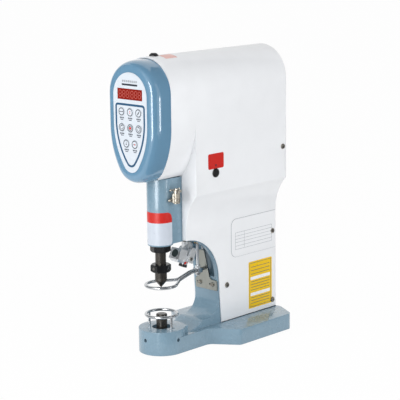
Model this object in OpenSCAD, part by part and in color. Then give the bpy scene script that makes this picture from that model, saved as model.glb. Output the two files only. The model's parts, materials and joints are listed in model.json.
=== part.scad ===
// Button attaching machine: a bench press with a servo driven ram, a lower die on a nose,
// a finger guard that drops round the work, a pointer lamp and a keyed control panel.
// The origin is on the table under the ram; +X is the operator's right and +Y the back.

/* [Frame casting] */
// Width of the base plate
base_w = 132; // [124:1:150]
// Thickness of the base plate
base_t = 22; // [18:1:26]
// Back edge of the base plate, behind the ram axis
base_rear = 207; // [206:1:225]
// Radius of the nose under the ram
nose_r = 31; // [29:0.5:34]
// Height of the nose's top above the table
nose_top = 32; // [30:1:35]
// Where the straight sides of the nose start to flare
flare_start = 59; // [54:1:66]
// Where the flare reaches the full width
flare_end = 84; // [78:1:95]
// Width of the column and of the neck
frame_w = 44; // [42:0.5:44.5]
// Top of the column and of the ram guide
frame_top = 234.5; // [232:0.5:236]
// Outer radius of the ram guide
guide_r = 17; // [16.5:0.25:18]
// Lower end of the ram guide
guide_bottom = 144.5; // [140:0.5:146]
// Radius of the throat's arch
throat_r = 62.2; // [59:0.1:63]
// Height of the arch's centre
throat_z = 84.5; // [83:0.5:86]
// Backward lean of the throat's wall, in degrees
throat_lean = 3.5; // [2:0.5:6]
// Fillet between the throat's wall and the neck
throat_fillet = 24; // [16:1:30]
// Depth of the channel in the throat's wall
channel_depth = 10; // [7:0.5:12]
// Diameter of the tapped holes under the base
bench_hole_d = 8; // [6:0.5:10]
// Distance between the bench holes across the base
bench_hole_dx = 100; // [90:1:110]
// Distance between the bench holes from front to back
bench_hole_dy = 80; // [70:1:90]

/* [Covers] */
// Half the width of the head, and the radius of its round top
head_r = 44; // [42:0.5:47]
// Height of the axis of the round top
head_axis_z = 350; // [348:1:356]
// Lowest point of the head's chin
chin_z = 230; // [226:0.5:231]
// Radius of the head's chin
chin_r = 30; // [27:0.5:32]
// Wall of the covers
cover_wall = 2; // [1.6:0.1:2.2]
// Front edge of the covers, where the bezel starts
cover_front = -20; // [-24:0.5:-18]
// Front wall of the wide part of the covers
shoulder_y = 24; // [22:0.5:26]
// Crease under the wide part of the covers
crease_z = 211; // [206:0.5:216]
// Height where the narrow part of the covers starts
waist_z = 163; // [158:1:168]
// Half the width of the covers round the column
column_half = 24.5; // [24.5:0.1:26]
// Width of casting that shows round the throat
rim_show = 1.4; // [1:0.2:4]
// Diameter of the cover screws' heads
screw_head_d = 7.5; // [6:0.5:9]

/* [Control panel] */
// Front face of the bezel
bezel_face_y = -50; // [-54:0.5:-48]
// Wall of the bezel
bezel_wall = 2.5; // [2:0.1:3]
// Half the width of the white overlay
face_half = 30.5; // [29.5:0.25:31]
// Thickness of the overlay
overlay_t = 1.5; // [1:0.1:2]
// Width of the display window
display_w = 45; // [40:0.5:46]
// Height of the display window
display_h = 14; // [12:0.5:15]
// Height of the display's centre
display_z = 348.5; // [346:0.5:351]
// Diameter of a key
key_d = 11; // [9:0.5:12]
// Distance between key columns
key_dx = 15.4; // [15:0.1:16]
// Distance between key rows
key_dz = 20.4; // [18:0.2:21]
// Height of the top row of keys
key_top_z = 325.5; // [323:0.5:327]
// How far a key travels
key_travel = 0.4; // [0.2:0.1:0.6]

/* [Ram and dies] */
// Stroke of the ram
stroke = 35.5; // [30:0.5:35.5]
// Diameter of the ram
ram_d = 20; // [19:0.5:21]
// Outer diameter of the ram bushes
bush_d = 26; // [24:0.5:27]
// Length of a ram bush
bush_len = 30; // [20:1:34]
// Diameter of the drive screw
screw_d = 12; // [10:0.5:12.5]
// Diameter of the punch shaft
shaft_d = 14.4; // [13:0.2:15]
// Diameter of the punch
punch_d = 16; // [14:0.5:17]
// Width across flats of the nuts on the punch shaft
nut_af = 24; // [22:0.5:27]
// Height of the jam nut
jam_h = 9.2; // [7:0.1:11]
// Height of the clamp nut
clamp_h = 10; // [8:0.5:10]
// Length of the punch below the clamp nut
punch_len = 12.8; // [9:0.2:12.8]
// Height of the punch's pointed tip
tip_h = 8.6; // [5:0.2:8.6]
// Diameter of the lower die post
post_d = 14.7; // [12:0.1:16]
// Top of the lower die post
post_top = 50; // [44:0.5:50]
// Diameter of the well round the die post
well_d = 26; // [22:0.5:30]
// Radius of the die ring, at the middle of its wire
die_ring_r = 21; // [19:0.5:23]
// Wire of the die ring
die_wire = 3.8; // [2.6:0.1:3.8]

/* [Finger guard and lamp] */
// Radius of the guard ring, at the middle of its wire
guard_r = 20.5; // [19:0.5:23]
// Wire of the guard ring
guard_wire = 4.2; // [3:0.1:4.2]
// Height of the guard ring
guard_z = 89.5; // [86:0.5:92]
// How far the guard drops
guard_travel = 30; // [20:1:30]
// Diameter of the guard rod
rod_d = 4; // [3.5:0.1:4.5]
// Distance from the ram axis back to the guard rod
guard_rod_y = 70.5; // [68:0.5:72]
// Distance from the ram axis back to the lamp's pivot
lamp_y = 50.5; // [49:0.5:52]
// Height of the lamp's pivot
lamp_z = 126.7; // [125:0.1:128]
// Tilt of the lamp from straight down, in degrees
lamp_tilt = 25; // [20:1:30]
// Width of the lamp's housing
lamp_w = 18; // [16:0.5:20]

/* [Drive] */
// Distance from the ram axis back to the motor shaft
motor_y = 62; // [62:0.5:66]
// Width of the square motor
motor_w = 60; // [56:0.5:62]
// Diameter of the motor shaft
motor_shaft_d = 11; // [9:0.5:12]
// Thickness of the drive plate
plate_t = 12; // [10:0.5:14]
// Belt pitch radius of the screw pulley
screw_pulley_r = 22.3; // [20:0.1:23]
// Belt pitch radius of the motor pulley
motor_pulley_r = 15.9; // [14:0.1:17]
// Width of the belt
belt_w = 10; // [8:0.5:11]

/* [Clearances] */
// Radial gap of parts that are pressed or screwed together
fit_gap = 0.02; // [0.01:0.01:0.05]
// Radial gap of parts that run in each other
run_gap = 0.05; // [0.03:0.01:0.08]
// Gap between parts that only pass each other
clear_gap = 0.3; // [0.3:0.1:0.5]

/* [Hidden] */
$fn = 48;
far = 400;
// Lap of a round over the line that it runs into
blend_lap = 0.02;
frame_half = frame_w / 2;
// Bay behind the frame, and the cover's edge before the base's
rear_bay = 17;
rear_edge = 2.5;
frame_rear = base_rear - rear_bay;
cover_rear = base_rear - rear_edge;
block_front = shoulder_y + cover_wall + clear_gap;
// Throat: an arch whose back end runs into a leaning wall, then a fillet and the neck
arch_top = throat_z + throat_r;
channel_half = 16;
channel_floor = 86;
bench_y = 140;
bench_hole_depth = 16;
pocket_front = 120;
pocket_floor = nose_top;
pocket_top = frame_top - 12;
socket_z = frame_top + 21.5;
// Head outline
head_side_z = head_axis_z - 40;
face_axis_z = head_axis_z - 3.9;
face_chin_z = chin_z + 17.4;
face_chin_r = chin_r / 2;
shoulder_r = (pow(head_r - column_half, 2) + pow(crease_z - waist_z, 2)) / (2 * (head_r - column_half));
tray_gap = 0.2;
tray_t = 2;
plate_in_y = cover_rear - 2.5;
// Cover screws, as depth and height: two in the tray's rim, one in the casting, one in the head
screw_line_y = cover_rear - 7.5;
tray_screws = [[screw_line_y, 33], [screw_line_y, 133]];
column_screw = [102, 73];
column_screw_in = 6;
head_screw = [screw_line_y, 255];
tray_screw_len = cover_wall + tray_gap + tray_t + 1;
screw_d_cover = 3.5;
screw_head_h = 2.2;
vent_rows = 6;
vent_low = 296;
vent_pitch = 10;
vent_h = 4;
vent_half = 20;
chin_slot_top = chin_z + 8;
plug_d = 12;
plug_neck_d = plug_d - 4;
plug_neck = 6;
plug_lip = 1.2;
plug_dome = 2.2;
plug_top_y = -6;
plug_side = [61, 237];
// Bezel
bezel_axis_z = head_axis_z - 2.5;
bezel_side_z = head_axis_z - 44;
bezel_chin_r = chin_r + 2.5;
bezel_chin_z = chin_z + 2;
bezel_round_y = cover_front - 6;
bezel_roll = 9;
roll_steps = [22.5, 45, 67.5, 90];
overlay_back_y = bezel_face_y + overlay_t;
module_t = 7.2;
board_y = overlay_back_y + module_t;
board_t = 1.6;
bezel_bosses = [[head_r - 5.5, 330], [head_r - 9.5, 280]];
boss_y = cover_front + 2;
tab_t = 3;
tab_w = 12;
tab_h = 9;
tab_shift = 2;
bezel_screw_d = 3;
bezel_screw_in = 8;
lip_t = 2;
board_side = [[12, 264, 2], [face_half + 2, 290, 4], [face_half + 2, 352, 6], [face_half - 3, 368, 4]];
key_switch_d = 4;
board_posts = [[face_half - 1, 305], [face_half - 5, 363]];
key_places = [for (row = [0:2], col = row < 2 ? [-1, 0, 1] : [-0.5, 0.5])
    [col * key_dx, key_top_z - row * key_dz]];
key_proud = 0.6;
key_back_y = overlay_back_y + 1.1;
// Ram train, downwards from the guide, and drive train, upwards from it
jam_top = guide_bottom - clear_gap;
clamp_top = guide_bottom - 26.7;
punch_top = clamp_top - clamp_h;
punch_shank_d = 8;
punch_shank_len = 17;
post_low = 6;
post_edge_r = 1.5;
well_depth = 5;
die_leg_d = die_wire - 0.2;
die_leg_y = -3;
die_leg_x = sqrt(die_ring_r * die_ring_r - die_leg_y * die_leg_y);
die_leg_in = 5;
set_screw_d = 5;
set_screw_z = 19;
set_screw_in = 5;
nose_hole = [18, 4];
nose_hole_depth = 7;
ram_top = frame_top + stroke + 1.5;
ram_nut_h = 18;
ram_nut_d = 30;
screw_collar_h = 6;
plate_z = ram_top + ram_nut_h + screw_collar_h + 4;
screw_reach = 50;
screw_low = ram_top - stroke - screw_reach;
ram_bore_d = screw_d + 1;
spigot_d = 12;
spigot_len = 15;
key_z = guide_bottom + 47.5;
key_pin_d = 6;
key_slot_depth = 2.1;
bracket_floor = 5.5;
bolt_head_h = 5;
bolt_head_d = 10;
bolt_d = 6;
bolt_in = 10;
bolt_x = 15;
motor_bolt_d = 5;
motor_bolt_head_d = 8.5;
motor_bolt_head_h = 3.5;
motor_bolt_in = 8;
motor_z = frame_top + bracket_floor + bolt_head_h + 1;
motor_hole = motor_w * 0.39;
bearing_d = 28;
pulley_z = plate_z + plate_t + 5;
flange_t = 1.5;
pulley_h = belt_w + 1 + 2 * flange_t;
belt_t = 2.2;
wall_y0 = motor_y - motor_w / 2 - 10;
wall_y1 = motor_y + motor_w / 2 + 2;
bracket_wall = 8;
bracket_half = 20;
plate_half = 32;
plate_front = cover_front;
screw_hex = 5.8;
// Electronics: a finned driver on the rear cover and a supply in the column's pocket
driver_half = 28;
driver_front = plate_in_y - 50;
driver_z = [socket_z + 32, socket_z + 112];
driver_foot = 2.5;
fin_depth = 10;
fin_pitch = 7;
fin_gap = 3.5;
// Supply: board, block and coil, each as half width, depth, low and high end
supply_board = [13, 4, 44, 164];
supply_block = [12, 42, 48, 108];
supply_coil = [10, 26, 114, 158];
// Guard
eye_z = guard_z + 6.5;
eye_h = 6;
eye_half_x = 5;
eye_half_y = 4.5;
// Heel behind the eye, which slides along the plate
heel_half_x = 2.5;
heel_half_z = 1.5;
heel_gap = 0.5;
leg_x = 2.2;
ring_open = 55;
guard_nut_af = 7;
rod_collar_d = 7.5;
rod_collar_h = 4;
rod_head_d = 11;
rod_head_h = 4;
rod_top = frame_top - 8;
spring_pocket_d = 13;
spring_len = guard_travel + 22;
spring_low = rod_top - rod_head_h - spring_len;
spring_wire = 1;
spring_turns = 10;
guard_bush_d = 9;
guard_bush_low = 134;
guard_nut_h = 3.2;
rod_below = 7.5;
stop_pin_at = [6.5, guard_rod_y + 3];
stop_pin_low = 126;
stop_pin_top = 149;
stop_pin_d = 3;
plate_low = 67;
guard_plate_t = 2;
plate_slot_x = 11.5;
plate_slot_up = 8;
plate_slot_run = 2;
plate_slot_d = 3.4;
plate_screw_d = 3;
plate_screw_in = 5;
// Outline of the guard plate: across, up the wall, corner radius
guard_plate_outline = [[-18, 0, 2], [21.5, 0, 2], [21.5, 14, 2], [9, 15, 5], [6, 30, 20], [1, 55, 3],
    [-9, 55, 3], [-9, 20, 4], [-18, 13, 3]];
wall_foot = [throat_y_at(plate_low), plate_low];
// Lamp
lamp_reach = 22.5;
lamp_stem_d = 9;
lamp_stem_low = 10;
lamp_stem_top = 35;
lamp_collar_d = 13;
lamp_collar_h = 4;
lamp_knuckle_d = 12;
lamp_knuckle_half = 6;
lamp_cheek_d = 11;
lamp_cheek_t = 5;
lamp_pin_d = 4;
lamp_yoke_z = [7.5, 15.5];
// Housing beside the nose, as depth and length along the beam, and its chamfered end
lamp_housing_y = [8, 21.5];
lamp_housing_z = [1.5, 16.5];
lamp_chamfer = 3;
lamp_nose_d = 11;
lamp_bore_d = lamp_nose_d - 2.5;
lamp_bore = 2;
// Oil cup
cup_at = [guide_r + 8, 6, 202];
cup_d = 9;
cup_h = 16;
cup_wall = 1.2;
cup_floor = 3;
cup_elbow_z = 4;
cup_elbow_d = 5;
cup_elbow_in = 3;
cup_flange_d = 8;
lid_t = 1.5;
lid_gap = 0.1;
lid_barrel_half = 1.5;
lid_ear = [1.7, 2.7];
lid_barrel_d = 2.6;
lid_pin_d = 1;
lid_axis = cup_at + [0, cup_d / 2 + 1.4, cup_h - 1.2];
// Sockets in the rear cover
inlet_x = -22;
switch_x = 2;
pedal_x = 25;
inlet_half = [12, 8.5];
inlet_depth = 18;
inlet_well = 12;
inlet_pins = [[-6, -1.5], [0, 2], [6, -1.5]];
switch_half = [6.5, 9.5];
switch_pin_d = 2;
pedal_d = 16;
socket_t = 2.5;
rocker_tilt = 7;

// Depth of the throat's wall at a height below the arch's tangent point
function throat_y_at(z) = shoulder_y + throat_r * cos(throat_lean)
    + (throat_z + throat_r * sin(throat_lean) - z) * tan(throat_lean);

// Depth of the guard plate's front at a height
function plate_face_y(z) = throat_y_at(z) - guard_plate_t / cos(throat_lean);

function unit(v) = v / norm(v);

// Points of a round at corner b of the path a, b, c
function corner_arc(a, b, c, r, steps = 8) =
    r == 0 ? [b] :
    let (u = unit(a - b), w = unit(c - b), half = acos(u * w) / 2,
         centre = b + unit(u + w) * r / sin(half),
         from = b + u * r / tan(half) - centre, to = b + w * r / tan(half) - centre,
         start = atan2(from.y, from.x), turn = (atan2(to.y, to.x) - start + 540) % 360 - 180)
    [for (i = [0:steps]) centre + r * [cos(start + turn * i / steps), sin(start + turn * i / steps)]];

// Outline through corners [x, y, radius]
function rounded(p) = let (n = len(p))
    [for (i = [0:n - 1])
        let (a = p[(i + n - 1) % n], b = p[i], c = p[(i + 1) % n])
        each corner_arc([a.x, a.y], [b.x, b.y], [c.x, c.y], b.z)];

function mirrored(p) = concat(p, [for (i = [len(p) - 1:-1:0]) [-p[i].x, p[i].y, p[i].z]]);

// An outline in X and Z, pushed from one Y to another
module along_y(from, to) translate([0, to, 0]) rotate([90, 0, 0]) linear_extrude(to - from) children();

// An outline in Y and Z, pushed from one X to another
module along_x(from, to) translate([from, 0, 0]) rotate([90, 0, 90]) linear_extrude(to - from) children();

module box(x, y, z) translate([x[0], y[0], z[0]]) cube([x[1] - x[0], y[1] - y[0], z[1] - z[0]]);

module rod_z(d, low, high) translate([0, 0, low]) cylinder(d = d, h = high - low);

module rod_x(d, from, to) translate([from, 0, 0]) rotate([0, 90, 0]) cylinder(d = d, h = to - from);

module rod_y(d, from, to) translate([0, from, 0]) rotate([-90, 0, 0]) cylinder(d = d, h = to - from);

// A straight piece of wire between two points, with a round end at the first
module wire(p, q, d) {
    v = q - p;
    translate(p) sphere(d = d * 1.04, $fn = 24);
    translate(p) rotate([0, acos(v.z / norm(v)), atan2(v.y, v.x)]) cylinder(d = d, h = norm(v));
}

// Egg outline: round top, upright sides, long side arcs and a round chin
module egg(half, axis_z, side_z, chin, low, inset = 0) {
    chin_c = low + chin;
    side_r = (half * half - chin * chin + pow(side_z - chin_c, 2)) / (2 * (half - chin));
    touch_z = chin_c + (chin - inset) * (chin_c - side_z) / (side_r - chin);
    translate([0, axis_z]) circle(r = half - inset);
    translate([inset - half, side_z]) square([2 * (half - inset), axis_z - side_z]);
    intersection() {
        translate([half - side_r, side_z]) circle(r = side_r - inset);
        translate([side_r - half, side_z]) circle(r = side_r - inset);
        translate([-half, touch_z]) square([2 * half, side_z - touch_z + 1]);
    }
    translate([0, chin_c]) circle(r = chin - inset + blend_lap);
}

module head_egg(inset = 0) egg(head_r, head_axis_z, head_side_z, chin_r, chin_z, inset);

module bezel_egg(inset = 0)
    egg(head_r, bezel_axis_z, bezel_side_z, bezel_chin_r, bezel_chin_z, inset);

module face_egg(inset = 0)
    egg(face_half, face_axis_z, head_side_z, face_chin_r, face_chin_z, inset);

// Outline of the wide part: round top, upright sides, hollow shoulders and the column
module body_outline(inset = 0, low = base_t) {
    half = head_r - inset;
    translate([0, head_axis_z]) circle(r = half);
    translate([-half, crease_z]) square([2 * half, head_axis_z - crease_z]);
    difference() {
        translate([-half, waist_z]) square([2 * half, crease_z - waist_z]);
        for (side = [-1, 1])
            translate([side * (column_half + shoulder_r), waist_z]) circle(r = shoulder_r + inset);
    }
    translate([inset - column_half, low]) square([2 * (column_half - inset), waist_z - low]);
}

// Throat seen from the side, grown by a margin, down to a floor
module throat(grow, floor_z, fillet) {
    r = throat_r + grow;
    touch = [shoulder_y + r * cos(throat_lean), throat_z + r * sin(throat_lean)];
    foot = [touch.x + (touch.y - floor_z) * tan(throat_lean), floor_z];
    run = (touch.y - floor_z - fillet * (1 + sin(throat_lean))) / cos(throat_lean);
    wall_touch = touch + run * [sin(throat_lean), -cos(throat_lean)];
    centre = wall_touch - fillet * [cos(throat_lean), sin(throat_lean)];
    difference() {
        union() {
            translate([shoulder_y, throat_z]) circle(r = r + blend_lap, $fn = 96);
            polygon([touch, [shoulder_y, throat_z + r], [-far, throat_z + r], [-far, floor_z], foot]);
        }
        if (fillet > 0)
            difference() {
                polygon([wall_touch, foot + [0.01, -0.01], [centre.x, floor_z - 0.01], centre]);
                translate(centre) circle(r = fillet + blend_lap, $fn = 96);
            }
    }
}

module base_outline() {
    half = base_w / 2;
    circle(r = nose_r, $fn = 96);
    polygon(rounded(mirrored([[nose_r, 0, 0], [nose_r, flare_start, 12], [half, flare_end, 6],
        [half, base_rear - 18, 10], [half - 34, base_rear, 12]])));
}

module pan_screw(head_d, head_h, shank_d, len) {
    difference() {
        union() {
            cylinder(d = head_d, h = head_h * 0.5);
            translate([0, 0, head_h * 0.5]) cylinder(d1 = head_d, d2 = head_d * 0.7, h = head_h * 0.5);
        }
        for (turn = [0, 90])
            rotate(turn) translate([-head_d * 0.28, -head_d * 0.06, head_h * 0.55])
                cube([head_d * 0.56, head_d * 0.12, head_h]);
    }
    translate([0, 0, -len]) cylinder(d = shank_d, h = len);
}

module hex_nut(af, h, bore) {
    corner = af / cos(30);
    difference() {
        intersection() {
            cylinder(d = corner, h = h, $fn = 6);
            union() {
                cylinder(d1 = af, d2 = corner + 0.2, h = h * 0.15);
                translate([0, 0, h * 0.15]) cylinder(d = corner + 0.2, h = h * 0.7);
                translate([0, 0, h * 0.85]) cylinder(d1 = corner + 0.2, d2 = af, h = h * 0.15);
            }
        }
        translate([0, 0, -1]) cylinder(d = bore, h = h + 2);
    }
}

module die_leg_places() for (side = [-1, 1]) translate([side * die_leg_x, die_leg_y]) children();

module die_screw_places() for (turn = [0, 90]) rotate(turn) translate([0, 0, set_screw_z]) children();

module bench_hole_places() for (x = [-1, 1], y = [-1, 1])
    translate([x * bench_hole_dx / 2, bench_y + y * bench_hole_dy / 2]) children();

module motor_bolt_places() for (x = [-1, 1], y = [-1, 1])
    translate([x * motor_hole, motor_y + y * motor_hole]) children();

module frame_bolt_places() for (x = [-bolt_x, bolt_x], y = [wall_y0 + 18, wall_y1 - 10])
    translate([x, y]) children();

module boss_places() for (at = bezel_bosses, side = [-1, 1]) translate([side * at.x, 0, at.y]) children();

// Tabs of the covers behind the bezel's bosses, grown by a margin
module tabs(from, to, grow = 0) for (at = bezel_bosses, side = [-1, 1])
    translate([side * (at.x + tab_shift), 0, at.y])
        box([-tab_w / 2 - grow, tab_w / 2 + grow], [from, to], [-tab_h / 2 - grow, tab_h / 2 + grow]);

// Frame of the guard plate: X across, Y up the leaning wall, Z towards the operator
module guard_plate_frame() translate([0, wall_foot.x, wall_foot.y]) rotate([90 + throat_lean, 0, 0])
    children();

module plate_slot_places() for (side = [-1, 1]) translate([side * plate_slot_x, plate_slot_up]) children();

module machine_frame() color("lightslategray") difference() {
    union() {
        linear_extrude(base_t) base_outline();
        cylinder(r = nose_r, h = nose_top, $fn = 96);
        box([-frame_half, frame_half], [0, block_front + 1], [0, nose_top]);
        difference() {
            box([-frame_half, frame_half], [block_front, frame_rear], [0, frame_top]);
            along_x(-far, far) throat(0, nose_top, throat_fillet);
            along_x(-channel_half, channel_half) intersection() {
                throat(channel_depth, nose_top, 0);
                translate([block_front + 6, channel_floor]) square([far, far]);
            }
        }
        box([-guide_r, guide_r], [0, block_front + 1], [arch_top, frame_top]);
        rod_z(2 * guide_r, guide_bottom, frame_top);
    }
    rod_z(bush_d, guide_bottom - 1, frame_top + 1);
    box([-channel_half, channel_half], [pocket_front, far], [pocket_floor, pocket_top]);
    rod_z(well_d, nose_top - well_depth, nose_top + 1);
    rod_z(post_d + 2 * fit_gap, post_low, nose_top);
    die_leg_places() rod_z(die_leg_d + 2 * fit_gap, nose_top - die_leg_in, nose_top + 1);
    translate(nose_hole) rod_z(die_wire, nose_top - nose_hole_depth, nose_top + 1);
    die_screw_places() rod_y(set_screw_d + 2 * fit_gap, -far, 0);
    bench_hole_places() rod_z(bench_hole_d, -1, bench_hole_depth);
    translate([0, 0, key_z]) rod_x(key_pin_d + 2 * fit_gap, -far, 0);
    translate([0, guard_rod_y]) rod_z(guard_bush_d + 2 * fit_gap, throat_z, spring_low);
    translate([0, guard_rod_y]) rod_z(spring_pocket_d, spring_low, frame_top + 1);
    translate(stop_pin_at) rod_z(stop_pin_d + 2 * fit_gap, throat_z, stop_pin_top + 1);
    translate([0, lamp_y]) rod_z(lamp_stem_d + 2 * fit_gap, lamp_z, lamp_z + lamp_stem_top + 1);
    translate([0, cup_at.y, cup_at.z + cup_elbow_z])
        rod_x(cup_elbow_d + 2 * fit_gap, guide_r - cup_elbow_in - 0.5, far);
    for (side = [0, 1]) mirror([side, 0, 0]) translate([0, column_screw.x, column_screw.y])
        rod_x(screw_d_cover + 2 * fit_gap, frame_half - column_screw_in - 2, frame_half + 1);
    frame_bolt_places() rod_z(bolt_d + 2 * fit_gap, frame_top - bolt_in - 1, frame_top + 1);
    guard_plate_frame() plate_slot_places() translate([plate_slot_run, 0])
        rod_z(plate_screw_d + 2 * fit_gap, -plate_screw_in - 1, 1);
}

// Both covers as one shell, before it is parted down the middle
module cover_shell() difference() {
    union() {
        along_y(cover_front, shoulder_y + cover_wall) head_egg();
        along_y(shoulder_y, cover_rear) body_outline();
        intersection() {
            along_y(boss_y, boss_y + tab_t) head_egg(1);
            tabs(boss_y - 1, boss_y + tab_t + 1);
        }
    }
    difference() {
        union() {
            along_y(cover_front - 1, cover_rear + 1) head_egg(cover_wall);
            along_y(shoulder_y + cover_wall, cover_rear + 1) body_outline(cover_wall, base_t - 1);
        }
        tabs(boss_y, boss_y + tab_t);
    }
    box([-guide_r - clear_gap, guide_r + clear_gap], [cover_front - 1, block_front], [0, chin_slot_top]);
    along_x(-far, far) throat(rim_show, base_t - 1, 0);
    translate([0, plug_top_y, head_axis_z]) rod_z(plug_neck_d, 0, far);
    translate([0, plug_side.x, plug_side.y]) rod_x(plug_neck_d, 0, far);
    for (at = concat(tray_screws, [column_screw, head_screw])) translate([0, at.x, at.y])
        rod_x(screw_d_cover + 2 * clear_gap, -far, far);
    boss_places() rod_y(bezel_screw_d + 2 * clear_gap, boss_y - 1, boss_y + tab_t + 1);
}

module left_cover() color("whitesmoke") intersection() {
    cover_shell();
    box([-far, 0], [-far, far], [0, far * 2]);
}

module right_cover() color("whitesmoke") intersection() {
    cover_shell();
    box([0, far], [-far, far], [0, far * 2]);
}

// A tray that closes the back: its rim stands on the column and takes the rear cover screws
module rear_cover() color("gainsboro") difference() {
    along_y(frame_rear, plate_in_y + tray_t) body_outline(cover_wall + tray_gap, base_t);
    along_y(frame_rear - 1, plate_in_y) body_outline(cover_wall + tray_gap + tray_t, base_t + tray_t);
    box([-frame_half - clear_gap, frame_half + clear_gap], [0, frame_rear], [0, far]);
    for (at = concat(tray_screws, [head_screw])) translate([0, at.x, at.y])
        rod_x(screw_d_cover + 2 * fit_gap, -far, far);
    for (row = [0:vent_rows - 1]) translate([0, 0, vent_low + row * vent_pitch])
        box([-vent_half, vent_half], [0, far], [0, vent_h]);
    translate([inlet_x, 0, socket_z]) socket_block(inlet_half, 0, far);
    translate([switch_x, 0, socket_z]) socket_block(switch_half, 0, far);
    translate([pedal_x, 0, socket_z]) rod_y(pedal_d, 0, far);
}

// A block of given half width and half height between two depths
module socket_block(half, from, to, inset = 0)
    box([inset - half.x, half.x - inset], [from, to], [inset - half.y, half.y - inset]);

module side_screw(x, at, len) translate([x, at.x, at.y]) rotate([0, 90, 0])
    pan_screw(screw_head_d, screw_head_h, screw_d_cover, len);

module cover_screws() color("silver") for (side = [0, 1]) mirror([side, 0, 0]) {
    for (at = tray_screws) side_screw(column_half, at, tray_screw_len);
    side_screw(column_half, column_screw, column_half - frame_half + column_screw_in);
    side_screw(head_r, head_screw, tray_screw_len);
}

// Bezel body at a given inset: upright sides, then a wide round into the flat face
module bezel_body(inset) hull() {
    along_y(bezel_round_y, cover_front) bezel_egg(inset);
    for (t = roll_steps)
        along_y(bezel_round_y + inset - (bezel_round_y - bezel_face_y) * sin(t),
                bezel_round_y + inset - (bezel_round_y - bezel_face_y) * sin(t) + 0.05)
            bezel_egg(inset + bezel_roll * (1 - cos(t)));
}

module control_bezel() color("steelblue") difference() {
    union() {
        difference() {
            bezel_body(0);
            translate([0, 0.05, 0]) bezel_body(bezel_wall);
            along_y(bezel_face_y - 1, board_y) face_egg(4);
            along_y(bezel_face_y - 1, overlay_back_y) face_egg();
        }
        difference() {
            along_y(cover_front - 4, cover_front + 5) intersection() {
                head_egg(cover_wall + tray_gap);
                bezel_egg(0.6);
            }
            along_y(cover_front - 5, cover_front + 6) head_egg(cover_wall + tray_gap + lip_t);
            box([-guide_r - 1, guide_r + 1], [-far, far], [0, chin_slot_top]);
            tabs(cover_front + 1, cover_front + 7, 1);
        }
        intersection() {
            bezel_body(0.5);
            union() {
                boss_places() rod_y(bezel_screw_d + 5, cover_front - 14, cover_front);
                for (at = board_posts, side = [-1, 1])
                    translate([side * at.x, 0, at.y]) rod_y(6, overlay_back_y + 0.2, board_y);
            }
        }
        boss_places() rod_y(bezel_screw_d + 2, cover_front - 1, boss_y);
    }
    boss_places() rod_y(bezel_screw_d + 2 * fit_gap, cover_front - bezel_screw_in, far);
}

module bezel_screws() color("silver") boss_places() translate([0, boss_y + tab_t]) rotate([-90, 0, 0])
    pan_screw(2 * bezel_screw_d, 2, bezel_screw_d, tab_t + bezel_screw_in);

// The display window between two depths, grown by a margin
module window(from, to, grow = 0) translate([0, 0, display_z])
    socket_block([display_w / 2, display_h / 2], from, to, -grow);

module panel_overlay() color("white") difference() {
    along_y(bezel_face_y, overlay_back_y) face_egg(0.1);
    window(-far, far, 0.1);
    for (at = key_places) translate([at.x, 0, at.y]) rod_y(key_d + clear_gap, -far, far);
}

module display_lens() color("firebrick") window(bezel_face_y, overlay_back_y);

module display_modules() color("darkred") difference() {
    window(overlay_back_y, board_y);
    box([-0.1, 0.1], [-far, far], [0, far]);
}

module panel_board() color("darkgreen") {
    along_y(board_y, board_y + board_t) polygon(rounded(mirrored(board_side)));
    for (at = key_places) translate([at.x, 0, at.y])
        rod_y(key_switch_d, key_back_y + key_travel + 0.1, board_y);
}

module key(i) color("ghostwhite") translate([key_places[i].x, 0, key_places[i].y]) {
    rod_y(key_d, bezel_face_y - key_proud, key_back_y);
    rod_y(key_d + 1.6, overlay_back_y + 0.1, key_back_y);
}

module plug() difference() {
    union() {
        rod_z(plug_neck_d - 2 * fit_gap, -plug_neck, 0);
        rod_z(plug_d, 0, plug_lip);
        translate([0, 0, plug_lip]) cylinder(d1 = plug_d, d2 = plug_d * 0.6, h = plug_dome);
    }
    rod_z(plug_neck_d - 3, -plug_neck - 1, -2);
}

module top_plug() color("black") translate([0, plug_top_y, head_axis_z + head_r]) plug();

module side_plug() color("black") translate([head_r, plug_side.x, plug_side.y]) rotate([0, 90, 0]) plug();

module ram_bushes() color("darkgoldenrod") for (low = [guide_bottom, frame_top - bush_len])
    difference() {
        rod_z(bush_d - 2 * fit_gap, low, low + bush_len);
        rod_z(ram_d + 2 * run_gap, low - 1, low + bush_len + 1);
    }

module ram_key() color("dimgray") translate([0, 0, key_z])
    rod_x(key_pin_d, -guide_r, key_slot_depth - 0.2 - ram_d / 2);

module screw_bearing() color("silver") difference() {
    rod_z(bearing_d - 2 * fit_gap, plate_z, plate_z + plate_t - 1);
    rod_z(screw_d + 2 * run_gap, plate_z - 1, plate_z + plate_t);
}

// A portal on the column: floor, two walls and the drive plate
module drive_bracket() color("slategray") difference() {
    union() {
        box([-bracket_half, bracket_half], [block_front, wall_y1 + bracket_wall],
            [frame_top, frame_top + bracket_floor]);
        box([clear_gap - guide_r, guide_r - clear_gap], [wall_y0, wall_y0 + bracket_wall],
            [frame_top, plate_z + 1]);
        box([-bracket_half, bracket_half], [wall_y1, wall_y1 + bracket_wall], [frame_top, plate_z + 1]);
        box([-plate_half, plate_half], [plate_front, wall_y1 + bracket_wall], [plate_z, plate_z + plate_t]);
    }
    rod_z(bearing_d, plate_z - 1, plate_z + plate_t + 1);
    translate([0, motor_y, 0]) rod_z(motor_shaft_d + 8, plate_z - 1, plate_z + plate_t + 1);
    motor_bolt_places() rod_z(motor_bolt_d + 2 * fit_gap, plate_z - 1, plate_z + plate_t + 1);
    frame_bolt_places() rod_z(bolt_d + 2 * fit_gap, frame_top - 1, frame_top + bracket_floor + 1);
}

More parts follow.
